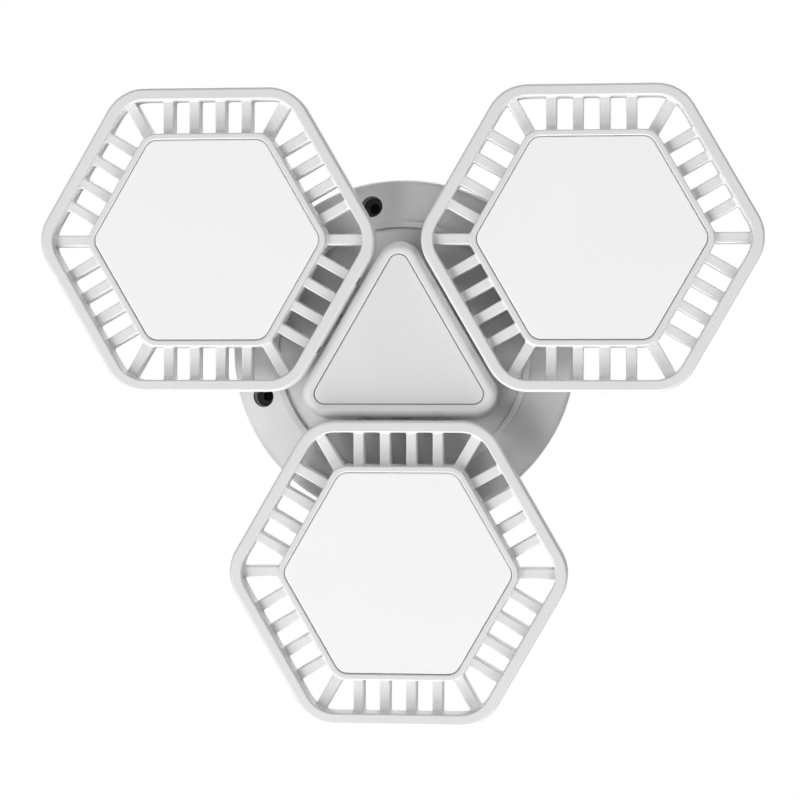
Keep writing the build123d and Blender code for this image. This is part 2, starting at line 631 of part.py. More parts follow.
def head_frame():
    """Rim, bars and bezel in one moulding, with the hinge bore and the pockets for the ears."""
    wide, corner = BEZEL_APOTHEM + BEZEL_SPREAD, BEZEL_CORNER_RADIUS + BEZEL_SPREAD
    bezel = slab(hexagon(wide, corner), RIM_BACK_Z, FRONT_Z, BEZEL_DRAFT)
    bezel = fillet(bezel.edges().group_by(Axis.Z)[-1], BEZEL_ROUND)
    body = joined([rim_band(), bezel, *ribs()])
    pocket = slab(hexagon(BEZEL_INNER, BEZEL_INNER_CORNER), LENS_LEDGE_Z, THROUGH)
    window = hexagon(BEZEL_INNER - LENS_LEDGE, BEZEL_INNER_CORNER - LENS_LEDGE)
    window = slab(window, RIM_BACK_Z - 1, THROUGH)
    cavity = slab(hexagon(LENS_APOTHEM, LENS_CORNER_RADIUS), RIM_BACK_Z - 1, CAVITY_TOP_Z)
    bosses = [tube(COVER_BOSS_RADIUS, RIM_BACK_Z, CAVITY_TOP_Z, spot) for spot in COVER_SCREW_SPOTS]
    body = (body - [pocket, window, cavity]) + bosses
    return body - [
        *shanks(COVER_SCREW, PILOT_FIT, 0, COVER_BACK_Z + COVER_SCREW[3] + PILOT_SPARE, COVER_SCREW_SPOTS),
        hinge_bar(PIN_RADIUS + PIN_FIT_RIM, -PIN_HALF - PLAY, RIM_APOTHEM),
        *[ear_pocket(s * EAR_OFFSET) for s in (-1, 1)],
    ]


def head_lens():
    """Clear cover, dished behind, that drops into the bezel."""
    lens = slab(hexagon(LENS_APOTHEM, LENS_CORNER_RADIUS), LENS_BACK_Z, LENS_FRONT_Z)
    lens = fillet(lens.edges().group_by(Axis.Z)[-1], LENS_ROUND)
    dish = hexagon(LENS_APOTHEM - LENS_RIM, LENS_CORNER_RADIUS - LENS_RIM)
    return lens - slab(dish, LENS_BACK_Z - 1, LENS_BACK_Z + LENS_DISH)


def lens_seal():
    outer, corner = LENS_APOTHEM - PLAY, LENS_CORNER_RADIUS - PLAY
    ring = hexagon(outer, corner) - hexagon(outer - LENS_SEAL_WIDTH, corner - LENS_SEAL_WIDTH)
    return slab(ring, LENS_LEDGE_Z, LENS_BACK_Z)


def led_board():
    return slab(hexagon(LED_BOARD_APOTHEM, LED_BOARD_CORNER_RADIUS), LED_BOARD_Z, LED_Z)


def leds():
    """Light-emitting chips on a hexagonal grid of rings round a middle one."""
    rows = range(-LED_RINGS, LED_RINGS + 1)
    grid = [(q, r) for q in rows for r in rows if abs(q + r) <= LED_RINGS]
    chip = Box(LED_SIZE, LED_SIZE, LED_HEIGHT)
    places = [(LED_PITCH * q * cos(radians(30)), LED_PITCH * (r + q / 2)) for q, r in grid]
    return [Pos(x, y, LED_Z + LED_HEIGHT / 2) * chip for x, y in places]


def back_cover():
    """Cast cover with cooling fins behind it and a raised seat for the board in front."""
    slope = COVER_SLOPE * COVER_THICK
    wide, corner = BEZEL_APOTHEM + BEZEL_SPREAD - slope, COVER_CORNER_RADIUS - slope
    plate = slab(hexagon(wide, corner), COVER_BACK_Z, RIM_BACK_Z, -COVER_SLOPE)
    pedestal = hexagon(LED_BOARD_APOTHEM - PEDESTAL_INSET, LED_BOARD_CORNER_RADIUS - PEDESTAL_INSET)
    seat = slab(pedestal, RIM_BACK_Z, LED_BOARD_Z)
    tip, foot = FIN_TIP / 2, FIN_FOOT / 2
    outline = [(-tip, FIN_BACK_Z), (tip, FIN_BACK_Z), (foot, COVER_BACK_Z), (-foot, COVER_BACK_Z)]
    fin = upright(make_face(Polyline(*outline, close=True)), THROUGH, 0)
    row = joined(Pos((i - (FIN_COUNT - 1) / 2) * FIN_PITCH, 0, 0) * fin for i in range(FIN_COUNT))
    row &= slab(hexagon(wide - FIN_INSET, corner), FIN_BACK_Z, COVER_BACK_Z, -COVER_SLOPE)
    row -= [tube(COVER_SCREW[1] + FIN_CLEARANCE, 0, COVER_BACK_Z, spot) for spot in COVER_SCREW_SPOTS]
    cover = plate + seat + row
    cover -= shanks(COVER_SCREW, SCREW_PLAY, 0, THROUGH, COVER_SCREW_SPOTS)
    return cover - tube(LEAD_HOLE, 0, THROUGH, (LEAD_ENTRY_X, 0))


def hinge_pin():
    pin = hinge_bar(PIN_RADIUS, -PIN_HALF, PIN_HALF)
    return chamfer(pin.edges().filter_by(GeomType.CIRCLE), PIN_CHAMFER)


def base_pieces():
    lead = grommet(LEAD_HOLE, LEAD_BORE, LEAD_FLANGE, LEAD_LIP, LEAD_SEAT_Z - FLANGE_THICK, LEAD_SEAT_Z)
    return {
        "base_canopy": base_canopy(),
        "wall_seal": seal_ring(),
        "rear_plate": rear_plate(),
        "rear_plate_screws": screws(PLATE_SCREW, REAR_PLATE_Z, PLATE_SCREW_SPOTS),
        "inlet_grommet": inlet_grommet(),
        "hub_body": hub_body(),
        "hub_panel": hub_panel(),
        "hub_screws": screws(HUB_SCREW, SHELF_BACK_Z, HUB_SCREW_SPOTS),
        "driver_board": driver_board(),
        "driver_capacitors": driver_capacitors(),
        "driver_transformer": driver_transformer(),
        "driver_chips": driver_chips(),
        "terminal_block": terminal_block(),
        "board_screws": screws(BOARD_SCREW, BOARD_BACK_Z, BOARD_SCREW_SPOTS),
        "lead_grommets": [about(angle, lead, HINGE_DISTANCE) for angle in HEAD_ANGLES.values()],
    }


def head_pieces():
    lead = grommet(LEAD_HOLE, LEAD_BORE, LEAD_FLANGE, LEAD_LIP, COVER_BACK_Z, RIM_BACK_Z)
    return {
        "frame": head_frame(),
        "lens": head_lens(),
        "lens_seal": lens_seal(),
        "led_board": led_board(),
        "leds": leds(),
        "back_cover": back_cover(),
        "cover_screws": screws(COVER_SCREW, COVER_BACK_Z, COVER_SCREW_SPOTS),
        "lead_grommet": Pos(LEAD_ENTRY_X, 0, 0) * lead,
        "hinge_pin": hinge_pin(),
    }


def write(name, piece, placing):
    """Stand a piece, or a set of like pieces, up against the wall and write it out."""
    solids = [solid for part in (piece if isinstance(piece, list) else [piece]) for solid in part.solids()]
    turned = [Rot(90, 0, 0) * placing * solid for solid in solids]
    export_step(Compound(children=turned) if len(turned) > 1 else turned[0], f"parts/{name}.step")


os.makedirs("parts", exist_ok=True)
for name, piece in base_pieces().items():
    write(name, piece, Pos(0, 0, 0))
one_head = head_pieces()
for side, angle in HEAD_ANGLES.items():
    for name, piece in one_head.items():
        write(f"{side}_{name}", piece, Rot(0, 0, angle) * Pos(HEAD_DISTANCE, 0, 0))
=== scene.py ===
import json
import math

import bmesh
import bpy
import numpy as np
from bpy.props import FloatProperty, FloatVectorProperty, IntProperty, PointerProperty
from bpy.types import Operator, Panel, PropertyGroup
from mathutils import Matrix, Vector


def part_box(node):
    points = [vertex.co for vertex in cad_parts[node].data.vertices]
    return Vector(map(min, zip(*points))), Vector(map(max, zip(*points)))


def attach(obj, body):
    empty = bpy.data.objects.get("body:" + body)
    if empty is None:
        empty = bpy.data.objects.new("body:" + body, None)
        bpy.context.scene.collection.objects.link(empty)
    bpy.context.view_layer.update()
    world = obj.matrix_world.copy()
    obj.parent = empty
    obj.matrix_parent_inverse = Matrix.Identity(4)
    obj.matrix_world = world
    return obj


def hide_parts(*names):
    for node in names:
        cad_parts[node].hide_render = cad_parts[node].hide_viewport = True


bl_info = {
    "name": "Folding three-head lamp",
    "version": (1, 0, 0),
    "blender": (4, 5, 0),
    "location": "View3D > Sidebar > Lamp",
    "description": "Dresses the packed lamp: mouldings, light units, hardware finishes, camera and light",
    "category": "Object",
}

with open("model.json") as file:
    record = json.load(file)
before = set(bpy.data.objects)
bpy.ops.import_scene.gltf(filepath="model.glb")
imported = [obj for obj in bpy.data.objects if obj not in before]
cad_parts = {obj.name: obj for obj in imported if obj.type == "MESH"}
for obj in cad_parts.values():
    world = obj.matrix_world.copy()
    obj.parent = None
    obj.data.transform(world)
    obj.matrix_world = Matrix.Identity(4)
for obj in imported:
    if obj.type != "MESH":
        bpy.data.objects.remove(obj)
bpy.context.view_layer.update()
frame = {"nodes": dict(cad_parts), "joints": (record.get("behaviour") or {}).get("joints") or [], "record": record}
MM = 0.001
MERGE_DISTANCE = 0.0005 * MM
SHARP_ANGLE = math.radians(32)
HEAD_SIDES = 6
TOWER_SIDES = 3
TOWER_TURN = math.radians(30)

# Each head's side, direction from the hub and distance of its hinge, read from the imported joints
HEADS = {}
for joint in frame["joints"]:
    x, _, z = joint["pos_m"]
    HEADS[joint["child"]] = (joint["child"].split("_")[0], math.atan2(z, x), math.hypot(x, z))
HINGE_FRONT = -frame["joints"][0]["pos_m"][1]
FRONT = -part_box("left_frame")[0].y
NODE_SLOT = {part["node"]: part["material_slot"] for part in frame["record"]["subparts"]}
MOUNTS = frame["record"]["mounts"]
SCREW_HOLES = [mount["pos_m"] for mount in MOUNTS if mount["name"].startswith("screw_hole")]

# Each studio lamp's name, its direction round the front in degrees, and the property with its height
STUDIO_LAMPS = (
    ("low_left", 225, "front_height"),
    ("left", 180, "front_height"),
    ("high_right", 45, "front_height"),
    ("below", 270, "grazing_height"),
    ("behind", 90, "back_height"),
)


# Properties

def length(name, default, description):
    """A length whose default is given in millimetres."""
    return FloatProperty(
        name=name, description=description, default=default * MM, min=0.0, unit="LENGTH", precision=5,
    )


def colour(name, default, description):
    return FloatVectorProperty(
        name=name, description=description, default=default, min=0.0, max=1.0, size=3, subtype="COLOR",
    )


def direction(name, default, description):
    """An angle whose default is given in degrees."""
    return FloatProperty(name=name, description=description, default=math.radians(default), subtype="ANGLE")


def factor(name, default, description):
    return FloatProperty(name=name, description=description, default=default, min=0.0)


def watts(name, default):
    return FloatProperty(name=name, description="Power in watts", default=default, min=0.0)


class LampHeadSizes(PropertyGroup):
    """Sizes of a head's open frame and lens."""

    rim_apothem: length("Rim apothem", 57.5, "From a head's middle to the outside of its rim")
    rim_corner: length("Rim corner", 16.5, "Radius of the rim's outer corners")
    rim_width: length("Rim width", 4.5, "Width of the rim seen from the front")
    rim_depth: length("Rim depth", 10.0, "Depth of the rim and of the light unit")
    rim_round: length("Rim rounding", 1.1, "Rounding of the rim's outer front edge")
    bar_count: IntProperty(name="Bars", description="Number of bars on a side", default=4, min=1)
    bar_pitch: length("Bar pitch", 10.0, "Distance between two bars of a side")
    bar_sink: length("Bar setback", 3.0, "How far the bars lie behind the rim's front")
    bar_depth: length("Bar depth", 6.5, "Depth of a bar")
    bar_face: length("Bar front", 3.9, "Width of a bar at its front")
    bar_spread: length("Bar spread", 0.3, "How much wider a bar is at its back")
    bar_round: length("Bar rounding", 0.5, "Rounding of a bar's front edges")
    bar_flare: length("Bar flare", 0.8, "Fillet where a bar meets the rim and the bezel")
    bar_tuck: length("Bar ends", 0.9, "How far a bar's ends go into the rim and the bezel")
    corner_bar_face: length("Corner bar front", 4.1, "Width of a corner bar at its front")
    bezel_apothem: length("Bezel apothem", 40.3, "From a head's middle to the outside of the bezel")
    bezel_corner: length("Bezel corner", 7.8, "Radius of the bezel's outer corners")
    bezel_width: length("Bezel width", 2.3, "Width of the bezel seen from the front")
    bezel_draft: factor("Bezel draft", 0.06, "Slope of the bezel's outside")
    seal_room: length("Seal room", 0.7, "From the lens to the ledge behind it")
    ledge_width: length("Ledge width", 2.5, "How far the ledge behind the lens stands in")
    ledge_thick: length("Ledge thickness", 1.2, "Thickness of the ledge behind the lens")
    lens_gap: length("Lens gap", 0.18, "Gap between the bezel and the lens")
    lens_drop: length("Lens setback", 0.3, "How far the lens lies behind the bezel's front")
    lens_thick: length("Lens thickness", 2.4, "Thickness of the lens at its edge")
    lens_round: length("Lens rounding", 0.6, "Rounding of the lens's front edge")


class LampCoverSizes(PropertyGroup):
    """Sizes of a head's finned back cover."""

    thick: length("Cover thickness", 1.6, "Thickness of the cover's plate")
    lean: length("Cover lean", 0.96, "How far the plate's edge stands in at its back")
    corner: length("Cover corner", 5.6, "Radius of the cover's corners at its front")
    fin_count: IntProperty(name="Fins", description="Number of cooling fins", default=9, min=1)
    fin_height: length("Fin height", 2.0, "Height of a cooling fin")
    fin_pitch: length("Fin pitch", 7.2, "Distance between two fins")
    fin_foot: length("Fin foot", 2.2, "Width of a fin where it meets the plate")
    fin_tip: length("Fin tip", 1.5, "Width of a fin at its tip")
    fin_tuck: length("Fin root", 0.2, "How far a fin goes into the plate")
    fin_nose: length("Fin nose", 0.8, "Length of a fin's rounded ends")
    fin_inset: length("Fin inset", 2.4, "From the plate's edge to the ends of the fins")
    screw_circle: length("Screw circle", 39.53, "Radius of the circle of cover screws")
    screw_room: length("Screw room", 3.0, "From a cover screw's axis to the middle fin")


class LampHubSizes(PropertyGroup):
    """Sizes of the triangular hub and its round floor."""

    inradius: length("Hub inradius", 24.7, "From the middle to a side of the tower at its top")
    corner: length("Hub corner", 8.4, "Radius of the tower's corners at its top")
    top: length("Hub top", 29.6, "Height of the tower above the wall")
    edge_round: length("Hub rounding", 3.4, "Rounding of the tower's front edge")
    wall: length("Hub wall", 2.2, "Thickness of the tower's wall")
    draft: factor("Tower draft", 0.1, "Slope of the tower's sides")
    panel_inset: length("Panel inset", 4.6, "From the tower's side to the panel's side")
    panel_gap: length("Panel gap", 0.28, "Gap round the panel")
    panel_drop: length("Panel setback", 0.3, "How far the panel lies behind the tower's top")
    panel_thick: length("Panel thickness", 2.1, "Thickness of the panel")
    panel_round: length("Panel rounding", 0.5, "Rounding of the panel's front edge")
    ledge_width: length("Ledge width", 1.85, "How far the panel's seat stands in under the panel")
    ledge_thick: length("Ledge thickness", 1.6, "Thickness of the panel's seat")
    floor_radius: length("Floor radius", 47.38, "Radius of the hub's round floor")
    floor_foot: length("Floor foot", 22.0, "Radius at which the floor has its full rise")
    floor_top: length("Floor height", 15.4, "Height of the floor's edge above the wall")
    floor_rise: length("Floor rise", 5.4, "How much the floor rises towards the tower")
    floor_sag: length("Floor hollow", 1.1, "How far the floor's slope is dished")
    floor_thick: length("Floor thickness", 2.4, "Thickness of the floor")
    floor_skirt: length("Floor skirt", 4.2, "Width of the flat ring under the floor's edge")
    seat_radius: length("Lead seat", 3.2, "Radius of the raised seats of the lead grommets")
    seat_bore: length("Lead hole", 1.6, "Radius of the hole in a seat")
    seat_tuck: length("Seat root", 0.6, "How far a seat goes through the floor")


class LampHingeSizes(PropertyGroup):
    """Sizes of the hinge ears on the hub, and of the pockets for them in a rim."""

    ear_offset: length("Ear offset", 15.0, "From a head's middle line to the middle of an ear")
    ear_thick: length("Ear thickness", 2.6, "Thickness of an ear")
    ear_back: length("Ear back", 1.7, "From the hinge's axis to an ear's side towards the hub")
    ear_front: length("Ear front", 1.8, "From the hinge's axis to an ear's top and its side towards the head")
    ear_foot: length("Ear foot", 1.6, "Height of an ear's foot above the edge of the hub's floor")
    heel_reach: length("Heel reach", 3.0, "How far an ear's heel reaches towards the hub")
    heel_low: length("Heel back", 4.0, "Height of the heel at its back")
    heel_high: length("Heel front", 5.4, "Height of the heel where it meets the ear")
    ear_edge: length("Ear edge", 0.25, "How far an ear's flat sides are drawn in")
    pocket_width: length("Pocket width", 3.0, "Width of a rim's pocket for an ear")
    pocket_room: length("Pocket room", 2.1, "Room in the rim round the hinge's axis")
    pocket_stop: length("Pocket stop", 1.85, "From the hinge's axis to the stop behind an ear")


class LampFinish(PropertyGroup):
    """Colours of the finishes, and where the painted shade in the canopy's screw wells ends."""

    shell: colour("Mouldings", (0.750, 0.750, 0.747), "White plastic of the frames, hub and canopy")
    # Painted shade: this dark tone colours the inside of the canopy's screw wells, out to the well radius and back
    # to the well floor
    well: colour("Screw wells", (0.045, 0.045, 0.046), "Shaded inside of the canopy's screw wells")
    well_radius: length("Well radius", 4.15, "From a screw's axis to the wall of its well")
    well_floor: length("Well floor", 2.2, "From the wall to the back end of the shade in a well")
    lens: colour("Lens", (0.930, 0.930, 0.926), "Opal plastic of the lenses")
    cover: colour("Back covers", (0.560, 0.565, 0.570), "Powder coat on the back covers")
    steel: colour("Steel", (0.560, 0.570, 0.580), "Zinc-plated steel")
    rubber: colour("Rubber", (0.030, 0.030, 0.032), "Rubber of the grommets")
    foam: colour("Seals", (0.090, 0.090, 0.092), "Foam of the seals")
    board: colour("Driver board", (0.020, 0.120, 0.045), "Solder mask of the driver board")
    led_board: colour("LED boards", (0.80, 0.80, 0.78), "White solder mask of the LED boards")
    phosphor: colour("LEDs", (0.86, 0.66, 0.16), "Phosphor of the LEDs")
    sleeve: colour("Capacitors", (0.012, 0.014, 0.02), "Sleeves of the capacitors")
    tape: colour("Transformer", (0.70, 0.50, 0.10), "Tape round the transformer")
    resin: colour("Chips", (0.02, 0.02, 0.021), "Resin of the small chips")
    terminal: colour("Terminal block", (0.03, 0.16, 0.06), "Plastic of the terminal block")


class LampStage(PropertyGroup):
    """Camera and light."""

    camera_spot: FloatVectorProperty(
        name="Camera", description="Place of the camera", default=(0.0764, -0.849, -0.0079), size=3,
        subtype="TRANSLATION",
    )
    camera_yaw: direction("Camera turn", -5.285, "Turn of the camera from +Y towards +X")
    camera_pitch: direction("Camera tilt", -0.749, "Upward tilt of the camera")
    focal_length: FloatProperty(name="Focal length", description="In millimetres", default=98.1, min=1.0)
    sensor_width: FloatProperty(name="Sensor width", description="In millimetres", default=36.0, min=1.0)
    floor_height: FloatProperty(name="Floor", description="Height of the floor", default=-3.2, unit="LENGTH")
    floor_size: length("Floor radius", 1900, "Radius of the round floor")
    floor_tone: colour("Floor tone", (0.82, 0.82, 0.82), "Colour of the floor")
    floor_glow: factor("Floor glow", 0.7, "How bright the floor looks where it is seen directly")
    ambient: factor("Ambient light", 0.07, "Strength of the world's light")
    # Painted shade: dark round sheets a little behind the canopy's back, one behind each screw hole
    painted_hole_shade_radius: length("Wall patch", 3.2, "Radius of the dark bit of wall behind each screw hole")
    painted_hole_shade_gap: length("Wall patch gap", 0.4, "From the canopy's back to the bit of wall")
    painted_hole_shade_tone: colour("Wall patch tone", (0.02, 0.02, 0.02), "Colour of the bits of wall")
    lamp_distance: length("Lamp distance", 3000, "From the lamp's middle to each studio lamp")
    lamp_size: length("Lamp size", 1360, "Side of each square studio lamp")
    front_height: direction("Front lamps", 45, "Angle of the front lamps above the wall")
    grazing_height: direction("Grazing lamp", 20, "Angle of the lamp below above the wall")
    back_height: direction("Back lamp", -40, "Angle of the lamp at the back")
    low_left: watts("Low left lamp", 36.5)
    left: watts("Left lamp", 16.0)
    high_right: watts("High right lamp", 27.0)
    below: watts("Lamp below", 76.0)
    behind: watts("Lamp behind", 40.0)


# Surfaces

def softened(corners, radii, steps=4, hold=0.05 * MM):
    """Closed profile with round corners.

    A corner p, reached along unit direction a and left along b, turns by g. It becomes the rational
    quadratic curve from p - t a to p + t b with t = r tan(g / 2) and middle weight cos(g / 2), which is an
    arc of radius r. One more point stands a little before and after each arc, so that shading stays flat
    between them.
    """
    p = np.asarray(corners, float)
    r = np.broadcast_to(np.asarray(radii, float), len(p))
    into, out = p - np.roll(p, 1, axis=0), np.roll(p, -1, axis=0) - p
    a = into / np.linalg.norm(into, axis=1, keepdims=True)
    b = out / np.linalg.norm(out, axis=1, keepdims=True)
    half = np.arccos(np.clip((a * b).sum(1), -1, 1)) / 2
    t = (r * np.tan(half))[:, None]
    u = np.linspace(0, 1, steps + 1)[None, :, None]
    weights = (1 - u) ** 2, 2 * np.cos(half)[:, None, None] * u * (1 - u), u**2
    ends = (p - t * a)[:, None], p[:, None], (p + t * b)[:, None]
    arc = sum(w * e for w, e in zip(weights, ends)) / sum(weights)
    curve = np.concatenate([(p - (t + hold) * a)[:, None], arc, (p + (t + hold) * b)[:, None]], axis=1)
    return curve.reshape(-1, 2)


def polygon_path(sides, apothem, corner, turn=0.0, arc_steps=10, stations=(0.0,)):
    """Path round a regular polygon with round corners, as points and outward unit normals.

    Side k faces the angle f = turn + 2 pi k / sides and holds the points apothem n(f) + y t(f) for y in
    stations. Its corner is centred at (apothem - corner) / cos(pi / sides) in the direction f + pi / sides,
    and there the points are centre + corner n(angle) while the angle goes from f to f + 2 pi / sides.
    """
    step = 2 * np.pi / sides
    facing = turn + step * np.arange(sides)[:, None]
    y = np.asarray(stations, float)[None, :]
    side_angle = np.broadcast_to(facing, (sides, y.shape[1]))
    side = apothem * np.stack([np.cos(side_angle), np.sin(side_angle)], -1)
    side = side + y[..., None] * np.stack([-np.sin(side_angle), np.cos(side_angle)], -1)
    angle = facing + np.linspace(0, step, arc_steps + 1)[None, :]
    middle = facing + step / 2
    centre = (apothem - corner) / np.cos(step / 2) * np.stack([np.cos(middle), np.sin(middle)], -1)
    arc = centre + corner * np.stack([np.cos(angle), np.sin(angle)], -1)
    points = np.concatenate([side, arc], axis=1).reshape(-1, 2)
    angles = np.concatenate([side_angle, angle], axis=1).reshape(-1)
    return points, np.stack([np.cos(angles), np.sin(angles)], -1)


def circle_path(steps, spot=(0.0, 0.0)):
    """Path round a point: every point is the spot itself, and the normals go once round."""
    angle = np.arange(steps) * 2 * np.pi / steps
    normals = np.stack([np.cos(angle), np.sin(angle)], -1)
    return np.broadcast_to(np.asarray(spot, float), (steps, 2)), normals


def carried(path, profile, shrink=None):
    """A closed profile carried round a closed path.

    The profile point (d, z) goes to path * s + normal * d at height z, where s is 1, or shrink's value for
    that point; the profile may differ from one point of the path to the next. Quads join neighbours both
    ways round.
    """
    base, normal = path
    profile = np.asarray(profile, float)
    scale = np.ones(profile.shape[-2]) if shrink is None else np.asarray(shrink, float)
    flat = base[:, None] * scale[None, :, None] + normal[:, None] * profile[..., 0:1]
    height = np.broadcast_to(profile[..., 1], flat.shape[:2])
    return np.concatenate([flat, height[..., None]], axis=2), [grid_faces(*flat.shape[:2])]


def grid_faces(rows, columns, wrap=True):
    """Quads (i, j), (i+1, j), (i+1, j+1), (i, j+1) of a grid, which closes both ways, or along j only."""
    i = np.arange(rows if wrap else rows - 1)[:, None]
    j = np.arange(columns)[None, :]
    below, beside = (i + 1) % rows, (j + 1) % columns
    corners = [i * columns + j, below * columns + j, below * columns + beside, i * columns + beside]
    return np.stack(np.broadcast_arrays(*corners), -1).reshape(-1, 4)


def capped_faces(rows, columns):
    """Quads of a grid that is closed along j, and its first and last row as one face each."""
    row = np.arange(columns)[None]
    return [grid_faces(rows, columns, wrap=False), row, (rows - 1) * columns + row[:, ::-1]]


def plate_edge(back, front, soft, steps, lean=0.0):
    """Softened edge of a plate, from its back, which stands in by the lean, to its front. It is the outer
    half of a profile whose inner corners lie well inside."""
    inside = -3 * MM
    edge = softened([(inside, back), (-lean, back), (0, front), (inside, front)], soft, steps)
    quarter = len(edge) // 4
    return edge[quarter: 3 * quarter]


def plate(path, edge):
    """A closed plate inside a path: the edge profile (d, z) runs from the back to the front, and each end
    of it is drawn in to the middle, where the path's scale falls to 0."""
    (back_d, back), (front_d, front) = edge[0], edge[-1]
    profile = np.concatenate([[(0.0, back), (back_d, back)], edge, [(front_d, front), (0.0, front)]])
    shrink = np.concatenate([[0.0, 0.9], np.ones(len(edge)), [0.9, 0.0]])
    return carried(path, profile, shrink)


def turned(points, turn):
    """Points turned about Z."""
    c, s = math.cos(turn), math.sin(turn)
    x, y, z = np.moveaxis(points, -1, 0)
    return np.stack([c * x - s * y, s * x + c * y, z], -1)


def stood(points, turn=0.0, distance=0.0):
    """Points moved along X and turned about Z, and then stood up: (x, y, z) becomes (x, -z, y)."""
    x, y, z = np.moveaxis(turned(points + (distance, 0, 0), turn), -1, 0)
    return np.stack([x, -z, y], -1)


def joined(surfaces):
    """Points and faces of several surfaces as one set."""
    points, faces, start = [], [], 0
    for grid, parts in surfaces:
        flat = grid.reshape(-1, 3)
        points.append(flat)
        for part in parts:
            faces += (part + start).tolist()
        start += len(flat)
    return np.concatenate(points), faces


def merged_mesh(name, points, faces):
    """A mesh of points and faces with its doubles merged."""
    mesh = bpy.data.meshes.new(name)
    mesh.from_pydata(points.reshape(-1, 3).tolist(), [], faces)
    work = bmesh.new()
    work.from_mesh(mesh)
    bmesh.ops.remove_doubles(work, verts=work.verts, dist=MERGE_DISTANCE)
    work.to_mesh(mesh)
    work.free()
    return mesh


def linked(name, mesh, finish):
    """An object at the origin with a mesh and one finish."""
    piece = bpy.data.objects.new(name, mesh)
    bpy.context.scene.collection.objects.link(piece)
    piece.data.materials.append(finish)
    return piece


def make_piece(name, surfaces, body, node, place=(0.0, 0.0)):
    """Makes one smooth-shaded piece of the surfaces, stood up at a place (turn, distance) round the hub's
    axis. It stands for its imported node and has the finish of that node's slot."""
    points, faces = joined(surfaces)
    mesh = merged_mesh(name, stood(points, *place), faces)
    mesh.shade_smooth()
    mesh.set_sharp_from_angle(angle=SHARP_ANGLE)
    slot = NODE_SLOT[node]
    piece = linked(name, mesh, finish_for(slot))
    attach(piece, body)
    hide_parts(node)


# Surfaces of a head, drawn round the origin with the hub on its -X side

def rim_surface(s, hinge, axis_height):
    """The rim: a softened upright profile carried round the rounded hexagon.

    Along two short stretches of the side at -X the profile has a pocket for a hinge ear. What lies between
    the hub and the hinge's axis is cut away, up to the arc axis + room (cos a, sin a) in front of it, and
    behind that arc a slot ends at the stop.
    """
    front, back, wide = FRONT, FRONT - s.rim_depth, s.rim_width
    soft = [0.4 * MM, s.rim_round, 0.6 * MM, 0.4 * MM]
    full = softened([(0, back), (0, front), (-wide, front), (-wide, back)], soft, steps=5)
    per_corner = len(full) // 4
    axis, room, stop = -wide / 2, hinge.pocket_room, hinge.pocket_stop
    angle = np.linspace(np.pi - math.acos(stop / room), np.pi / 2, per_corner - 1)
    round_axis = np.stack([axis + room * np.cos(angle), axis_height + room * np.sin(angle)], -1)
    pocket = full.copy()
    pocket[:per_corner] = np.vstack([round_axis, [(0, axis_height + room)]])
    pocket[-per_corner:, 0] = np.minimum(pocket[-per_corner:, 0], axis - stop)
    low, high = hinge.ear_offset - hinge.pocket_width / 2, hinge.ear_offset + hinge.pocket_width / 2
    edges = np.repeat([-high, -low, low, high], 2)
    path = polygon_path(HEAD_SIDES, s.rim_apothem, s.rim_corner, arc_steps=14, stations=edges)
    per_side = len(path[0]) // HEAD_SIDES
    side, station = np.divmod(np.arange(HEAD_SIDES * per_side), per_side)
    in_pocket = 1, 2, 5, 6  # Two stations stand at each edge of a pocket, and one of them is inside it
    cut = (side == HEAD_SIDES // 2) & np.isin(station, in_pocket)
    return carried(path, np.where(cut[:, None, None], pocket, full))


def bezel_surface(s):
    """The bezel: a softened profile with a draft outside and a ledge inside for the lens, carried round the
    rounded hexagon."""
    front, back = FRONT, FRONT - s.rim_depth
    spread = s.bezel_draft * s.rim_depth
    seat = front - s.lens_drop - s.lens_thick - s.seal_room
    under = seat - s.ledge_thick
    ledge = -s.bezel_width - s.ledge_width
    wall = -s.bezel_width - s.lens_gap
    corners = [
        (spread, back), (0, front), (-s.bezel_width, front), (-s.bezel_width, seat), (ledge, seat),
        (ledge, under), (wall, under), (wall, back),
    ]
    soft = np.array([0.2, 0.5, 0.5, 0.1, 0.15, 0.15, 0.1, 0.1]) * MM
    return carried(polygon_path(HEAD_SIDES, s.bezel_apothem, s.bezel_corner), softened(corners, soft))


def bar_surface(s, face, near, far, turn, offset=0.0):
    """One bar: a softened trapezium carried along X. Within the flare's length f of either end its section
    grows like a fillet, by f (1 - sqrt(1 - (1 - x / f)^2)), and its ends are closed inside the walls."""
    front, back = FRONT - s.bar_sink, FRONT - s.bar_sink - s.bar_depth
    foot, face = (face + s.bar_spread) / 2, face / 2
    corners = [(-foot, back), (foot, back), (face, front), (-face, front)]
    section = softened(corners, [0.3 * MM, 0.3 * MM, s.bar_round, s.bar_round], steps=5)
    away = section - section.mean(0)
    away /= np.abs(away).max(axis=0)
    f = s.bar_flare
    ramp = f * (1 - np.cos(np.linspace(0, np.pi / 2, 7)))
    x = np.concatenate([[near - s.bar_tuck], near + ramp, far - ramp[::-1], [far + s.bar_tuck]])
    gap = np.clip(np.minimum(x - near, far - x) / f, 0, 1)
    grow = f * (1 - np.sqrt(1 - (1 - gap) ** 2))
    flat = section[None] + away[None] * grow[:, None, None]
    points = np.concatenate([np.broadcast_to(x[:, None, None], flat.shape[:2] + (1,)), flat], axis=2)
    faces = [part[:, ::-1] for part in capped_faces(*flat.shape[:2])]
    return turned(points + (0, offset, 0), turn), faces


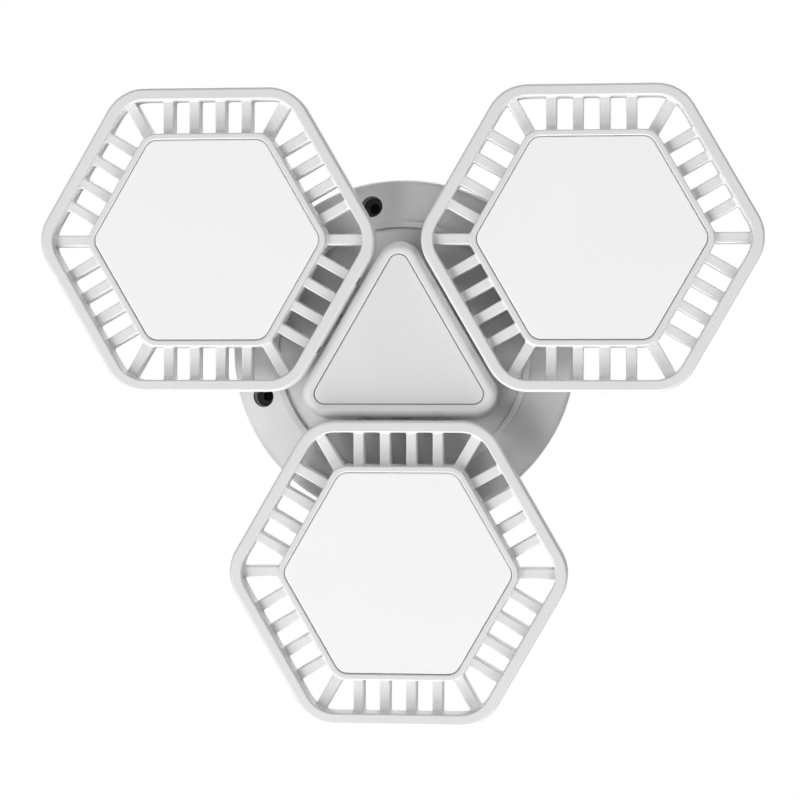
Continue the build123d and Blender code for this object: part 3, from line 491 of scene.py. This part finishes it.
def bar_surfaces(s):
    """The bars across each side of the head, and one across each corner."""
    bezel, rim = s.bezel_apothem, s.rim_apothem - s.rim_width
    half = math.pi / HEAD_SIDES
    tip = 1 / math.cos(half)
    corner_near = (bezel - s.bezel_corner) * tip + s.bezel_corner
    corner_far = (s.rim_apothem - s.rim_corner) * tip + s.rim_corner - s.rim_width
    offsets = (np.arange(s.bar_count) - (s.bar_count - 1) / 2) * s.bar_pitch
    bars = []
    for side in range(HEAD_SIDES):
        turn = 2 * half * side
        bars += [bar_surface(s, s.bar_face, bezel, rim, turn, offset) for offset in offsets]
        bars.append(bar_surface(s, s.corner_bar_face, corner_near, corner_far, turn + half))
    return bars


def lens_surface(s):
    """The lens: a plate inside the rounded hexagon with a softened front edge."""
    inset = s.bezel_width + s.lens_gap
    front = FRONT - s.lens_drop
    path = polygon_path(HEAD_SIDES, s.bezel_apothem - inset, s.bezel_corner - inset)
    return plate(path, plate_edge(front - s.lens_thick, front, s.lens_round, steps=6))


def cover_surfaces(s, c):
    """The back cover: a plate that slopes in behind the bezel, and its fins along Y.

    A fin at x ends on the rounded hexagon: at y = (a - |x| / 2) / sin 60 on its slanting sides, and at
    y = yc + sqrt(r^2 - x^2) round its tips. The middle fin stops short of the cover's screws.
    """
    joint = FRONT - s.rim_depth
    back = joint - c.thick
    apothem = s.bezel_apothem + s.bezel_draft * s.rim_depth
    path = polygon_path(HEAD_SIDES, apothem, c.corner, arc_steps=8)
    surfaces = [plate(path, plate_edge(back, joint, 0.25 * MM, steps=4, lean=c.lean))]
    x = (np.arange(c.fin_count) - (c.fin_count - 1) / 2) * c.fin_pitch
    a, r = apothem - c.lean - c.fin_inset, c.corner - c.lean
    yc = (a - r) / math.cos(math.radians(30))
    slant = (a - np.abs(x) / 2) / math.sin(math.radians(60))
    round_tip = yc + np.sqrt(np.clip(r**2 - x**2, 0, None))
    reach = np.where(np.abs(x) < r / 2, round_tip, slant)
    reach = np.where(np.abs(x) < c.fin_tip, c.screw_circle - c.screw_room, reach)
    return surfaces + [fin_surface(c, x_fin, y_end, back) for x_fin, y_end in zip(x, reach)]


def fin_surface(c, x_fin, y_end, back):
    """One fin: a softened trapezium carried along Y. Over the rounded noses at both ends, where y runs as
    end - nose (1 - cos a), its width falls as w + (1 - w) sin a and its height as h + (1 - h) sin a."""
    root, tip = back + c.fin_tuck, back - c.fin_height
    foot, top = c.fin_foot / 2, c.fin_tip / 2
    narrowest, lowest = 0.55, 0.6
    corners = [(-top, tip), (top, tip), (foot, root), (-foot, root)]
    section = softened(corners, np.array([0.35, 0.35, 0.02, 0.02]) * MM, steps=4, hold=0.02 * MM)
    angle = np.linspace(0, np.pi / 2, 6)
    nose = c.fin_nose * (1 - np.cos(angle))
    y = np.concatenate([nose - y_end, y_end - nose[::-1]])[:, None]
    full = np.concatenate([np.sin(angle), np.sin(angle[::-1])])[:, None]
    x = x_fin + section[:, 0] * (narrowest + (1 - narrowest) * full)
    z = root + (section[:, 1] - root) * (lowest + (1 - lowest) * full)
    return np.stack(np.broadcast_arrays(x, y, z), -1), capped_faces(*x.shape)


# Surfaces of the hub

def tower_surface(h):
    """The tower: a softened wall profile carried round the rounded triangle. It leans in by the draft going
    up outside, crosses the rounded edge, drops to the panel's seat, and goes down inside with that draft."""
    low = h.floor_top - h.floor_thick
    grow = h.draft * (h.top - low)
    seat = h.top - h.panel_drop - h.panel_thick
    under = seat - h.ledge_thick
    recess = h.panel_gap - h.panel_inset
    ledge = -h.panel_inset - h.ledge_width
    inner = h.draft * (h.top - under) - h.wall
    corners = [
        (grow, low), (0, h.top), (recess, h.top), (recess, seat), (ledge, seat), (ledge, under),
        (inner, under), (grow - h.wall, low),
    ]
    soft = [0.2 * MM, h.edge_round, 0.35 * MM, *[0.1 * MM] * 4, 0.2 * MM]
    path = polygon_path(TOWER_SIDES, h.inradius, h.corner, TOWER_TURN, arc_steps=18)
    return carried(path, softened(corners, soft, steps=8))


def floor_surface(h):
    """The hub's round floor: a closed profile turned about the axis. Its top runs from the edge p0 towards
    the foot p2, with the middle lowered by the hollow, as q(u) = (1-u)^2 p0 + 2u(1-u) p1 + u^2 p2."""
    tuck = 0.5 * MM
    rim, high, low = h.floor_radius, h.floor_top, h.floor_top - h.floor_thick
    p0 = np.array([rim, high])
    p2 = np.array([h.floor_foot, high + h.floor_rise])
    p1 = (p0 + p2) / 2 - (0, 2 * h.floor_sag)
    reach = (rim - h.inradius + tuck) / (rim - h.floor_foot)
    u = np.linspace(0, reach, 15)[1:, None]
    top = (1 - u) ** 2 * p0 + 2 * u * (1 - u) * p1 + u**2 * p2
    foot = rim - h.floor_skirt
    edge = [
        (foot, low), (rim - 0.2 * MM, low), (rim, low + 0.2 * MM),
        (rim, high - 0.25 * MM), (rim - 0.07 * MM, high - 0.07 * MM), (rim - 0.25 * MM, high),
    ]
    bottom = (top - (0, h.floor_thick))[::-1]
    bottom = bottom[bottom[:, 0] < foot - tuck]
    return carried(circle_path(144), np.concatenate([edge, top, bottom]))


def seat_surface(h, turn, hinge_distance):
    """A raised seat for a lead's grommet: a softened rectangle carried round one spot."""
    top = h.floor_top + h.floor_rise
    low = top - h.floor_thick - h.seat_tuck
    corners = [(h.seat_radius, low), (h.seat_radius, top), (h.seat_bore, top), (h.seat_bore, low)]
    spot = hinge_distance * math.cos(turn), hinge_distance * math.sin(turn)
    return carried(circle_path(48, spot), softened(corners, np.array([0.1, 0.3, 0.15, 0.1]) * MM))


def ear_surface(h, hinge, offset, turn, hinge_distance):
    """One hinge ear: a softened outline in X and Z, drawn in a little on each flat side, given its
    thickness along Y, moved to its offset and turned to its head."""
    foot, top = h.floor_top + hinge.ear_foot, HINGE_FRONT + hinge.ear_front
    back, front = hinge_distance - hinge.ear_back, hinge_distance + hinge.ear_front
    heel = back - hinge.heel_reach
    corners = [
        (heel, foot), (front, foot), (front, top), (back, top), (back, foot + hinge.heel_high),
        (heel, foot + hinge.heel_low),
    ]
    outline = softened(corners, np.array([0.2, 0.2, 1.75, 1.7, 1.2, 0.8]) * MM, steps=8)
    centre = outline.mean(0)
    edge, half = hinge.ear_edge, hinge.ear_thick / 2
    inset = 1 - edge / np.linalg.norm(outline - centre, axis=1, keepdims=True)
    drawn_in = centre + (outline - centre) * inset
    layers = [(drawn_in, -half), (outline, edge - half), (outline, half - edge), (drawn_in, half)]
    points = np.stack([np.insert(section, 1, offset + y, axis=1) for section, y in layers])
    return turned(points, turn), capped_faces(len(layers), len(outline))


def panel_surface(h):
    """The front panel: a plate inside the rounded triangle with a softened front edge."""
    inset, front = h.panel_inset, h.top - h.panel_drop
    path = polygon_path(TOWER_SIDES, h.inradius - inset, h.corner - inset, TOWER_TURN, arc_steps=18)
    return plate(path, plate_edge(front - h.panel_thick, front, h.panel_round, steps=5))


# Finishes

def add_node(tree, kind, inputs, **settings):
    """A node in a tree, with a value or a link for each of its inputs, which are named or numbered."""
    node = tree.nodes.new(f"ShaderNode{kind}")
    for name, value in settings.items():
        setattr(node, name, value)
    for key, value in inputs.items():
        if isinstance(value, bpy.types.NodeSocket):
            tree.links.new(value, node.inputs[key])
        else:
            node.inputs[key].default_value = value
    return node


class Finish:
    """One material on Object coordinates. Numbers that are the same all over are set on its shader."""

    def __init__(self, name, base, roughness, **sockets):
        self.material = bpy.data.materials.new(name)
        self.material.use_nodes = True
        self.tree = self.material.node_tree
        self.shader = self.tree.nodes["Principled BSDF"]
        self.shader.inputs["Base Color"].default_value = (*base, 1.0)
        self.shader.inputs["Roughness"].default_value = roughness
        for socket, value in sockets.items():
            self.shader.inputs[socket.replace("_", " ")].default_value = value
        self.spot = add_node(self.tree, "TexCoord", {}).outputs["Object"]

    def link(self, output, name):
        self.tree.links.new(output, self.shader.inputs[name])

    def stretched(self, scale):
        return add_node(self.tree, "Mapping", {"Scale": scale, "Vector": self.spot}).outputs["Vector"]

    def noise(self, scale, detail, vector=None):
        inputs = {"Scale": scale, "Detail": detail, "Vector": vector or self.spot}
        return add_node(self.tree, "TexNoise", inputs).outputs["Fac"]

    def cells(self, scale, feature="F1"):
        inputs = {"Scale": scale, "Vector": self.spot}
        return add_node(self.tree, "TexVoronoi", inputs, feature=feature).outputs["Distance"]

    def bands(self, scale, across, distortion):
        inputs = {"Scale": scale, "Distortion": distortion, "Vector": self.spot}
        return add_node(self.tree, "TexWave", inputs, bands_direction=across).outputs["Fac"]

    def ranged(self, amount, low, high, start=0.0, end=1.0):
        """Low where the amount is at the start, high where it is at the end, and in between in proportion."""
        inputs = {"Value": amount, "From Min": start, "From Max": end, "To Min": low, "To Max": high}
        return add_node(self.tree, "MapRange", inputs).outputs["Result"]

    def combined(self, operation, first, second):
        return add_node(self.tree, "Math", {0: first, 1: second}, operation=operation).outputs["Value"]

    def blended(self, amount, first, second):
        """Base colour from first to second with the amount, each of them a socket or a colour with alpha."""
        colour_a, colour_b, mixed = 6, 7, 2
        inputs = {"Factor": amount, colour_a: first, colour_b: second}
        self.link(add_node(self.tree, "Mix", inputs, data_type="RGBA").outputs[mixed], "Base Color")

    def tinted(self, amount, first, second):
        """Base colour from first to second with the amount."""
        self.blended(amount, (*first, 1.0), (*second, 1.0))

    def axis_distance(self, spots):
        """Distance from the nearest of the axes that run along Y through the spots."""
        inputs = {0: self.spot, 1: (1.0, 0.0, 1.0)}
        flat = add_node(self.tree, "VectorMath", inputs, operation="MULTIPLY").outputs["Vector"]
        nearest = None
        for x, _, z in spots:
            reach = add_node(self.tree, "VectorMath", {0: flat, 1: (x, 0.0, z)}, operation="DISTANCE")
            distance = reach.outputs["Value"]
            nearest = self.combined("MINIMUM", nearest, distance) if nearest else distance
        return nearest

    def painted_well_shade(self, spots, radius, floor, tone):
        """Painted shade: the tint so far turns to a dark tone within a radius of the spots' axes, in front of the
        floor.
        """
        soft = 0.05 * MM
        y = add_node(self.tree, "SeparateXYZ", {0: self.spot}).outputs["Y"]
        inside = self.ranged(self.axis_distance(spots), 1, 0, radius - soft, radius + soft)
        ahead = self.ranged(y, 1, 0, -floor - 2 * soft, -floor)
        tint = self.shader.inputs["Base Color"].links[0].from_socket
        self.blended(self.combined("MULTIPLY", inside, ahead), tint, (*tone, 1.0))

    def roughened(self, amount, low, high):
        self.link(self.ranged(amount, low, high), "Roughness")

    def bumped(self, *layers):
        """Adds (height, depth in millimetres) layers, the coarse one first. Returns the finished material."""
        inputs = {"Strength": 1.0}
        for height, depth in layers:
            bump = add_node(self.tree, "Bump", {**inputs, "Distance": depth * MM, "Height": height})
            inputs["Normal"] = bump.outputs["Normal"]
        self.link(inputs["Normal"], "Normal")
        return self.material


def shade(base, amount):
    """A colour made lighter or darker."""
    return tuple(min(1.0, channel * amount) for channel in base)


def moulded_white(name, colours, wells=()):
    """Spark-textured white plastic: fine grain, faint orange peel, slow changes of tone, and painted shade in the
    wells.
    """
    base = colours.shell
    f = Finish(name, base, 0.42)
    f.tinted(f.ranged(f.noise(38, 4), 0, 1, 0.35, 0.65), shade(base, 0.985), shade(base, 1.012))
    f.roughened(f.noise(700, 2), 0.36, 0.50)
    if wells:
        # Painted shade: the screw wells are coloured dark
        f.painted_well_shade(wells, colours.well_radius, colours.well_floor, colours.well)
    return f.bumped((f.noise(240, 2), 0.012), (f.noise(4200, 2), 0.010))


def opal_lens(base):
    """Opal plastic with a satin front."""
    f = Finish("opal_lens", base, 0.48, Specular_IOR_Level=0.3)
    f.tinted(f.ranged(f.noise(30, 3), 0, 1, 0.3, 0.7), shade(base, 0.992), shade(base, 1.006))
    f.roughened(f.noise(900, 2), 0.42, 0.54)
    return f.bumped((f.noise(3000, 2), 0.004))


def powder_coat(base):
    """Cast aluminium under a powder coat: a pebbled skin with slow changes of tone."""
    f = Finish("powder_coat", base, 0.5)
    f.tinted(f.ranged(f.noise(60, 4), 0, 1, 0.3, 0.7), shade(base, 0.95), shade(base, 1.04))
    f.roughened(f.noise(500, 3), 0.42, 0.58)
    return f.bumped((f.noise(900, 3), 0.03), (f.cells(2600), 0.01))


def zinc_plate(name, base, streak=(1.0, 1.0, 1.0)):
    """Zinc-plated steel: cloudy crystals in tone and roughness, with fine drawing lines along the streak."""
    f = Finish(name, base, 0.32, Metallic=1.0)
    f.tinted(f.ranged(f.cells(420, "SMOOTH_F1"), 0, 1, 0.0, 0.6), shade(base, 0.86), shade(base, 1.08))
    f.roughened(f.noise(260, 4), 0.24, 0.44)
    return f.bumped((f.noise(1200, 2, f.stretched(streak)), 0.006))


def soft_rubber(name, base, grain):
    """Rubber or foam with a dull, slightly mottled skin."""
    f = Finish(name, base, 0.8, Specular_IOR_Level=0.3)
    f.tinted(f.noise(grain / 4, 4), shade(base, 0.75), shade(base, 1.35))
    f.roughened(f.noise(grain, 2), 0.68, 0.92)
    return f.bumped((f.cells(grain), 0.06))


def solder_mask(name, base, dark):
    """Circuit board: tracks seen through the lacquer as slightly raised, paler bands."""
    f = Finish(name, base, 0.35, Coat_Weight=0.4, Coat_Roughness=0.15)
    tracks = f.ranged(f.bands(220, "DIAGONAL", 6.0), 0, 1, 0.46, 0.54)
    f.tinted(tracks, shade(base, dark), base)
    f.roughened(f.noise(800, 2), 0.28, 0.42)
    return f.bumped((tracks, 0.03), (f.noise(3000, 2), 0.005))


def plain_part(name, base, roughness, grain):
    """Small moulded or wound part with a fine grain."""
    f = Finish(name, base, roughness)
    f.tinted(f.noise(300, 3), shade(base, 0.85), shade(base, 1.12))
    f.roughened(f.noise(900, 2), roughness - 0.08, roughness + 0.1)
    return f.bumped((f.noise(grain, 2), 0.01))


def wound_tape(base):
    """Yellow tape in turns round a core."""
    f = Finish("transformer_tape", base, 0.4, Coat_Weight=0.3)
    turns = f.bands(380, "Z", 0.3)
    f.tinted(turns, shade(base, 0.8), shade(base, 1.05))
    f.roughened(f.noise(700, 2), 0.32, 0.5)
    return f.bumped((turns, 0.04))


def all_finishes(colours):
    """One finish for each material slot of the record, and the canopy's, which has painted shade in its screw
    wells.
    """
    steel = colours.steel
    return {
        "base_canopy": moulded_white("canopy_white", colours, SCREW_HOLES),
        "shell_plastic": moulded_white("moulded_white", colours),
        "lens_plastic": opal_lens(colours.lens),
        "cover_aluminium": powder_coat(colours.cover),
        "seal_foam": soft_rubber("seal_foam", colours.foam, grain=1800),
        "grommet_rubber": soft_rubber("grommet_rubber", colours.rubber, grain=3200),
        "plate_steel": zinc_plate("zinc_plate", steel, streak=(0.06, 1.0, 1.0)),
        "screw_steel": zinc_plate("zinc_screw", shade(steel, 1.1)),
        "pin_steel": zinc_plate("bright_pin", shade(steel, 1.2), streak=(1.0, 1.0, 0.1)),
        "circuit_board": solder_mask("driver_mask", colours.board, dark=0.6),
        "led_board_mask": solder_mask("white_mask", colours.led_board, dark=0.93),
        "led_phosphor": plain_part("led_phosphor", colours.phosphor, 0.45, grain=2600),
        "capacitor_sleeve": plain_part("capacitor_sleeve", colours.sleeve, 0.35, grain=1800),
        "transformer_tape": wound_tape(colours.tape),
        "chip_resin": plain_part("chip_resin", colours.resin, 0.55, grain=4200),
        "terminal_plastic": plain_part("terminal_plastic", colours.terminal, 0.45, grain=2400),
    }


FINISHES = {}


def finish_for(slot):
    """The finish of a slot, all of them being made the first time."""
    if not FINISHES:
        FINISHES.update(all_finishes(bpy.context.scene.lamp_finish))
    return FINISHES[slot]


# Operators

def head_places(head):
    """Each head's body and side, with the turn and distance at which a drawing round the origin is in
    place."""
    for body, (side, turn, hinge_distance) in HEADS.items():
        yield body, side, (turn, hinge_distance + head.rim_apothem - head.rim_width / 2)


class LAMP_OT_hardware(Operator):
    """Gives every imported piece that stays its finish"""

    bl_idname = "lamp.hardware"
    bl_label = "Hardware finishes"

    def execute(self, context):
        for node, piece in frame["nodes"].items():
            piece.data.materials.clear()
            piece.data.materials.append(finish_for(node if node == "base_canopy" else NODE_SLOT[node]))
        return {"FINISHED"}


class LAMP_OT_head_frames(Operator):
    """Makes the open frame of each head: rim, bars and bezel"""

    bl_idname = "lamp.head_frames"
    bl_label = "Head frames"

    def execute(self, context):
        head, hinge = context.scene.lamp_head, context.scene.lamp_hinge
        surfaces = [rim_surface(head, hinge, HINGE_FRONT), bezel_surface(head), *bar_surfaces(head)]
        for body, side, place in head_places(head):
            make_piece(f"{side}_head_frame", surfaces, body, f"{side}_frame", place)
        return {"FINISHED"}


class LAMP_OT_lenses(Operator):
    """Makes the opal lens of each head"""

    bl_idname = "lamp.lenses"
    bl_label = "Lenses"

    def execute(self, context):
        head = context.scene.lamp_head
        for body, side, place in head_places(head):
            make_piece(f"{side}_opal_lens", [lens_surface(head)], body, f"{side}_lens", place)
        return {"FINISHED"}


class LAMP_OT_back_covers(Operator):
    """Makes the finned back cover of each head"""

    bl_idname = "lamp.back_covers"
    bl_label = "Back covers"

    def execute(self, context):
        head = context.scene.lamp_head
        surfaces = cover_surfaces(head, context.scene.lamp_cover)
        for body, side, place in head_places(head):
            make_piece(f"{side}_finned_cover", surfaces, body, f"{side}_back_cover", place)
        return {"FINISHED"}


class LAMP_OT_hub(Operator):
    """Makes the hub's tower with its round floor and hinge ears"""

    bl_idname = "lamp.hub"
    bl_label = "Hub"

    def execute(self, context):
        hub, hinge = context.scene.lamp_hub, context.scene.lamp_hinge
        surfaces = [tower_surface(hub), floor_surface(hub)]
        for _, *place in HEADS.values():
            surfaces.append(seat_surface(hub, *place))
            for offset in (-hinge.ear_offset, hinge.ear_offset):
                surfaces.append(ear_surface(hub, hinge, offset, *place))
        make_piece("hub_tower", surfaces, "base", "hub_body")
        return {"FINISHED"}


class LAMP_OT_hub_panel(Operator):
    """Makes the triangular front panel of the hub"""

    bl_idname = "lamp.hub_panel"
    bl_label = "Hub panel"

    def execute(self, context):
        make_piece("hub_front_panel", [panel_surface(context.scene.lamp_hub)], "base", "hub_panel")
        return {"FINISHED"}


class LAMP_OT_stage(Operator):
    """Makes the floor, the painted shade behind the screw holes, the lamps, the world's light and the camera"""

    bl_idname = "lamp.stage"
    bl_label = "Stage"

    def execute(self, context):
        stage = context.scene.lamp_stage
        add_floor(stage)
        # Painted shade: dark sheets behind the screw holes
        add_painted_hole_shade(stage)
        add_world(stage)
        for name, turn, height in STUDIO_LAMPS:
            add_lamp(stage, name, math.radians(turn), getattr(stage, height))
        add_camera(stage)
        context.scene.view_settings.view_transform = "Standard"
        return {"FINISHED"}


def seen_directly(tree):
    """1 for rays that come from the camera, a mirror or glass."""
    rays = add_node(tree, "LightPath", {}).outputs
    total = rays["Is Camera Ray"]
    for name in ("Is Glossy Ray", "Is Transmission Ray"):
        inputs = {0: total, 1: rays[name]}
        total = add_node(tree, "Math", inputs, operation="ADD", use_clamp=True).outputs["Value"]
    return total


def round_sheet(radius, height, steps, spot=(0.0, 0.0)):
    """Points and faces of a flat round sheet at a height: a fan of rings of growing radius round a spot."""
    rings = [(share * radius, height) for share in (0.0, 0.5, 1.0)]
    points, _ = carried(circle_path(steps, spot), rings)
    return points.transpose(1, 0, 2), grid_faces(len(rings), steps, wrap=False).tolist()


def dull_material(name, tone):
    """A dull material of one tone, and its shader."""
    material = bpy.data.materials.new(name)
    material.use_nodes = True
    shader = material.node_tree.nodes["Principled BSDF"]
    shader.inputs["Base Color"].default_value = (*tone, 1.0)
    shader.inputs["Roughness"].default_value = 0.9
    return material, shader


def add_floor(stage):
    """A round pale floor, which is brighter where it is seen directly."""
    material, shader = dull_material("pale_floor", stage.floor_tone)
    tree = material.node_tree
    shader.inputs["Emission Color"].default_value = (1.0, 1.0, 1.0, 1.0)
    glow = add_node(tree, "Math", {0: seen_directly(tree), 1: stage.floor_glow}, operation="MULTIPLY")
    tree.links.new(glow.outputs["Value"], shader.inputs["Emission Strength"])
    mesh = merged_mesh("floor", *round_sheet(stage.floor_size, stage.floor_height, 96))
    linked("floor", mesh, material)


def add_painted_hole_shade(stage):
    """Painted shade: a small dark round sheet behind each screw hole, which is clear from behind."""
    material, shader = dull_material("dark_wall", stage.painted_hole_shade_tone)
    tree = material.node_tree
    behind = add_node(tree, "NewGeometry", {}).outputs["Backfacing"]
    clear = add_node(tree, "BsdfTransparent", {}).outputs["BSDF"]
    mix = add_node(tree, "MixShader", {"Fac": behind, 1: shader.outputs["BSDF"], 2: clear})
    tree.links.new(mix.outputs["Shader"], tree.nodes["Material Output"].inputs["Surface"])
    for number, (x, _, z) in enumerate(SCREW_HOLES, 1):
        points, faces = round_sheet(stage.painted_hole_shade_radius, -stage.painted_hole_shade_gap, 32, (x, z))
        name = f"wall_at_hole_{number}"
        linked(name, merged_mesh(name, stood(points), faces), material)


def add_world(stage):
    """An even pale light all round, which looks white where it is seen directly."""
    world = bpy.data.worlds.new("even_light")
    world.use_nodes = True
    tree = world.node_tree
    background = tree.nodes["Background"].inputs
    background["Color"].default_value = (1.0, 1.0, 1.0, 1.0)
    inputs = {"Value": seen_directly(tree), "To Min": stage.ambient, "To Max": 1.0}
    tree.links.new(add_node(tree, "MapRange", inputs).outputs["Result"], background["Strength"])
    bpy.context.scene.world = world


def add_lamp(stage, name, turn, height):
    """A square lamp that faces the origin, at a turn round the front and a height in front of the wall."""
    light = bpy.data.lights.new(name, "AREA")
    light.energy = getattr(stage, name)
    light.size = stage.lamp_size
    lamp = bpy.data.objects.new(name, light)
    out, up = math.cos(height), math.sin(height)
    spot = stage.lamp_distance * Vector((out * math.cos(turn), -up, out * math.sin(turn)))
    lamp.location = spot
    lamp.rotation_euler = (-spot).to_track_quat("-Z", "Y").to_euler()
    bpy.context.scene.collection.objects.link(lamp)


def add_camera(stage):
    """The camera, looking along its yaw and pitch."""
    camera = bpy.data.cameras.new("camera")
    camera.lens = stage.focal_length
    camera.sensor_width = stage.sensor_width
    view = bpy.data.objects.new("camera", camera)
    yaw, pitch = stage.camera_yaw, stage.camera_pitch
    ahead = Vector((math.sin(yaw) * math.cos(pitch), math.cos(yaw) * math.cos(pitch), math.sin(pitch)))
    view.location = stage.camera_spot
    view.rotation_euler = ahead.to_track_quat("-Z", "Y").to_euler()
    bpy.context.scene.collection.objects.link(view)
    bpy.context.scene.camera = view


class LAMP_PT_sidebar(Panel):
    """Lists the lamp's pieces and settings"""

    bl_idname = "LAMP_PT_sidebar"
    bl_label = "Lamp"
    bl_space_type = "VIEW_3D"
    bl_region_type = "UI"
    bl_category = "Lamp"

    def draw(self, context):
        for operator in OPERATORS:
            self.layout.operator(operator.bl_idname)
        for name in SETTINGS:
            box = self.layout.box()
            group = getattr(context.scene, name)
            for key in group.__annotations__:
                box.prop(group, key)


OPERATORS = (
    LAMP_OT_hardware, LAMP_OT_head_frames, LAMP_OT_lenses, LAMP_OT_back_covers, LAMP_OT_hub,
    LAMP_OT_hub_panel, LAMP_OT_stage,
)
SETTINGS = {
    "lamp_head": LampHeadSizes,
    "lamp_cover": LampCoverSizes,
    "lamp_hub": LampHubSizes,
    "lamp_hinge": LampHingeSizes,
    "lamp_finish": LampFinish,
    "lamp_stage": LampStage,
}


def register():
    for cls in (*SETTINGS.values(), *OPERATORS, LAMP_PT_sidebar):
        bpy.utils.register_class(cls)
    for name, group in SETTINGS.items():
        setattr(bpy.types.Scene, name, PointerProperty(type=group))


def unregister():
    for name in SETTINGS:
        delattr(bpy.types.Scene, name)
    for cls in (LAMP_PT_sidebar, *reversed(OPERATORS), *reversed(SETTINGS.values())):
        bpy.utils.unregister_class(cls)


def main():
    """Makes every piece and the stage."""
    register()
    for operator in OPERATORS:
        group, name = operator.bl_idname.split(".")
        getattr(getattr(bpy.ops, group), name)()


if __name__ == "__main__":
    main()
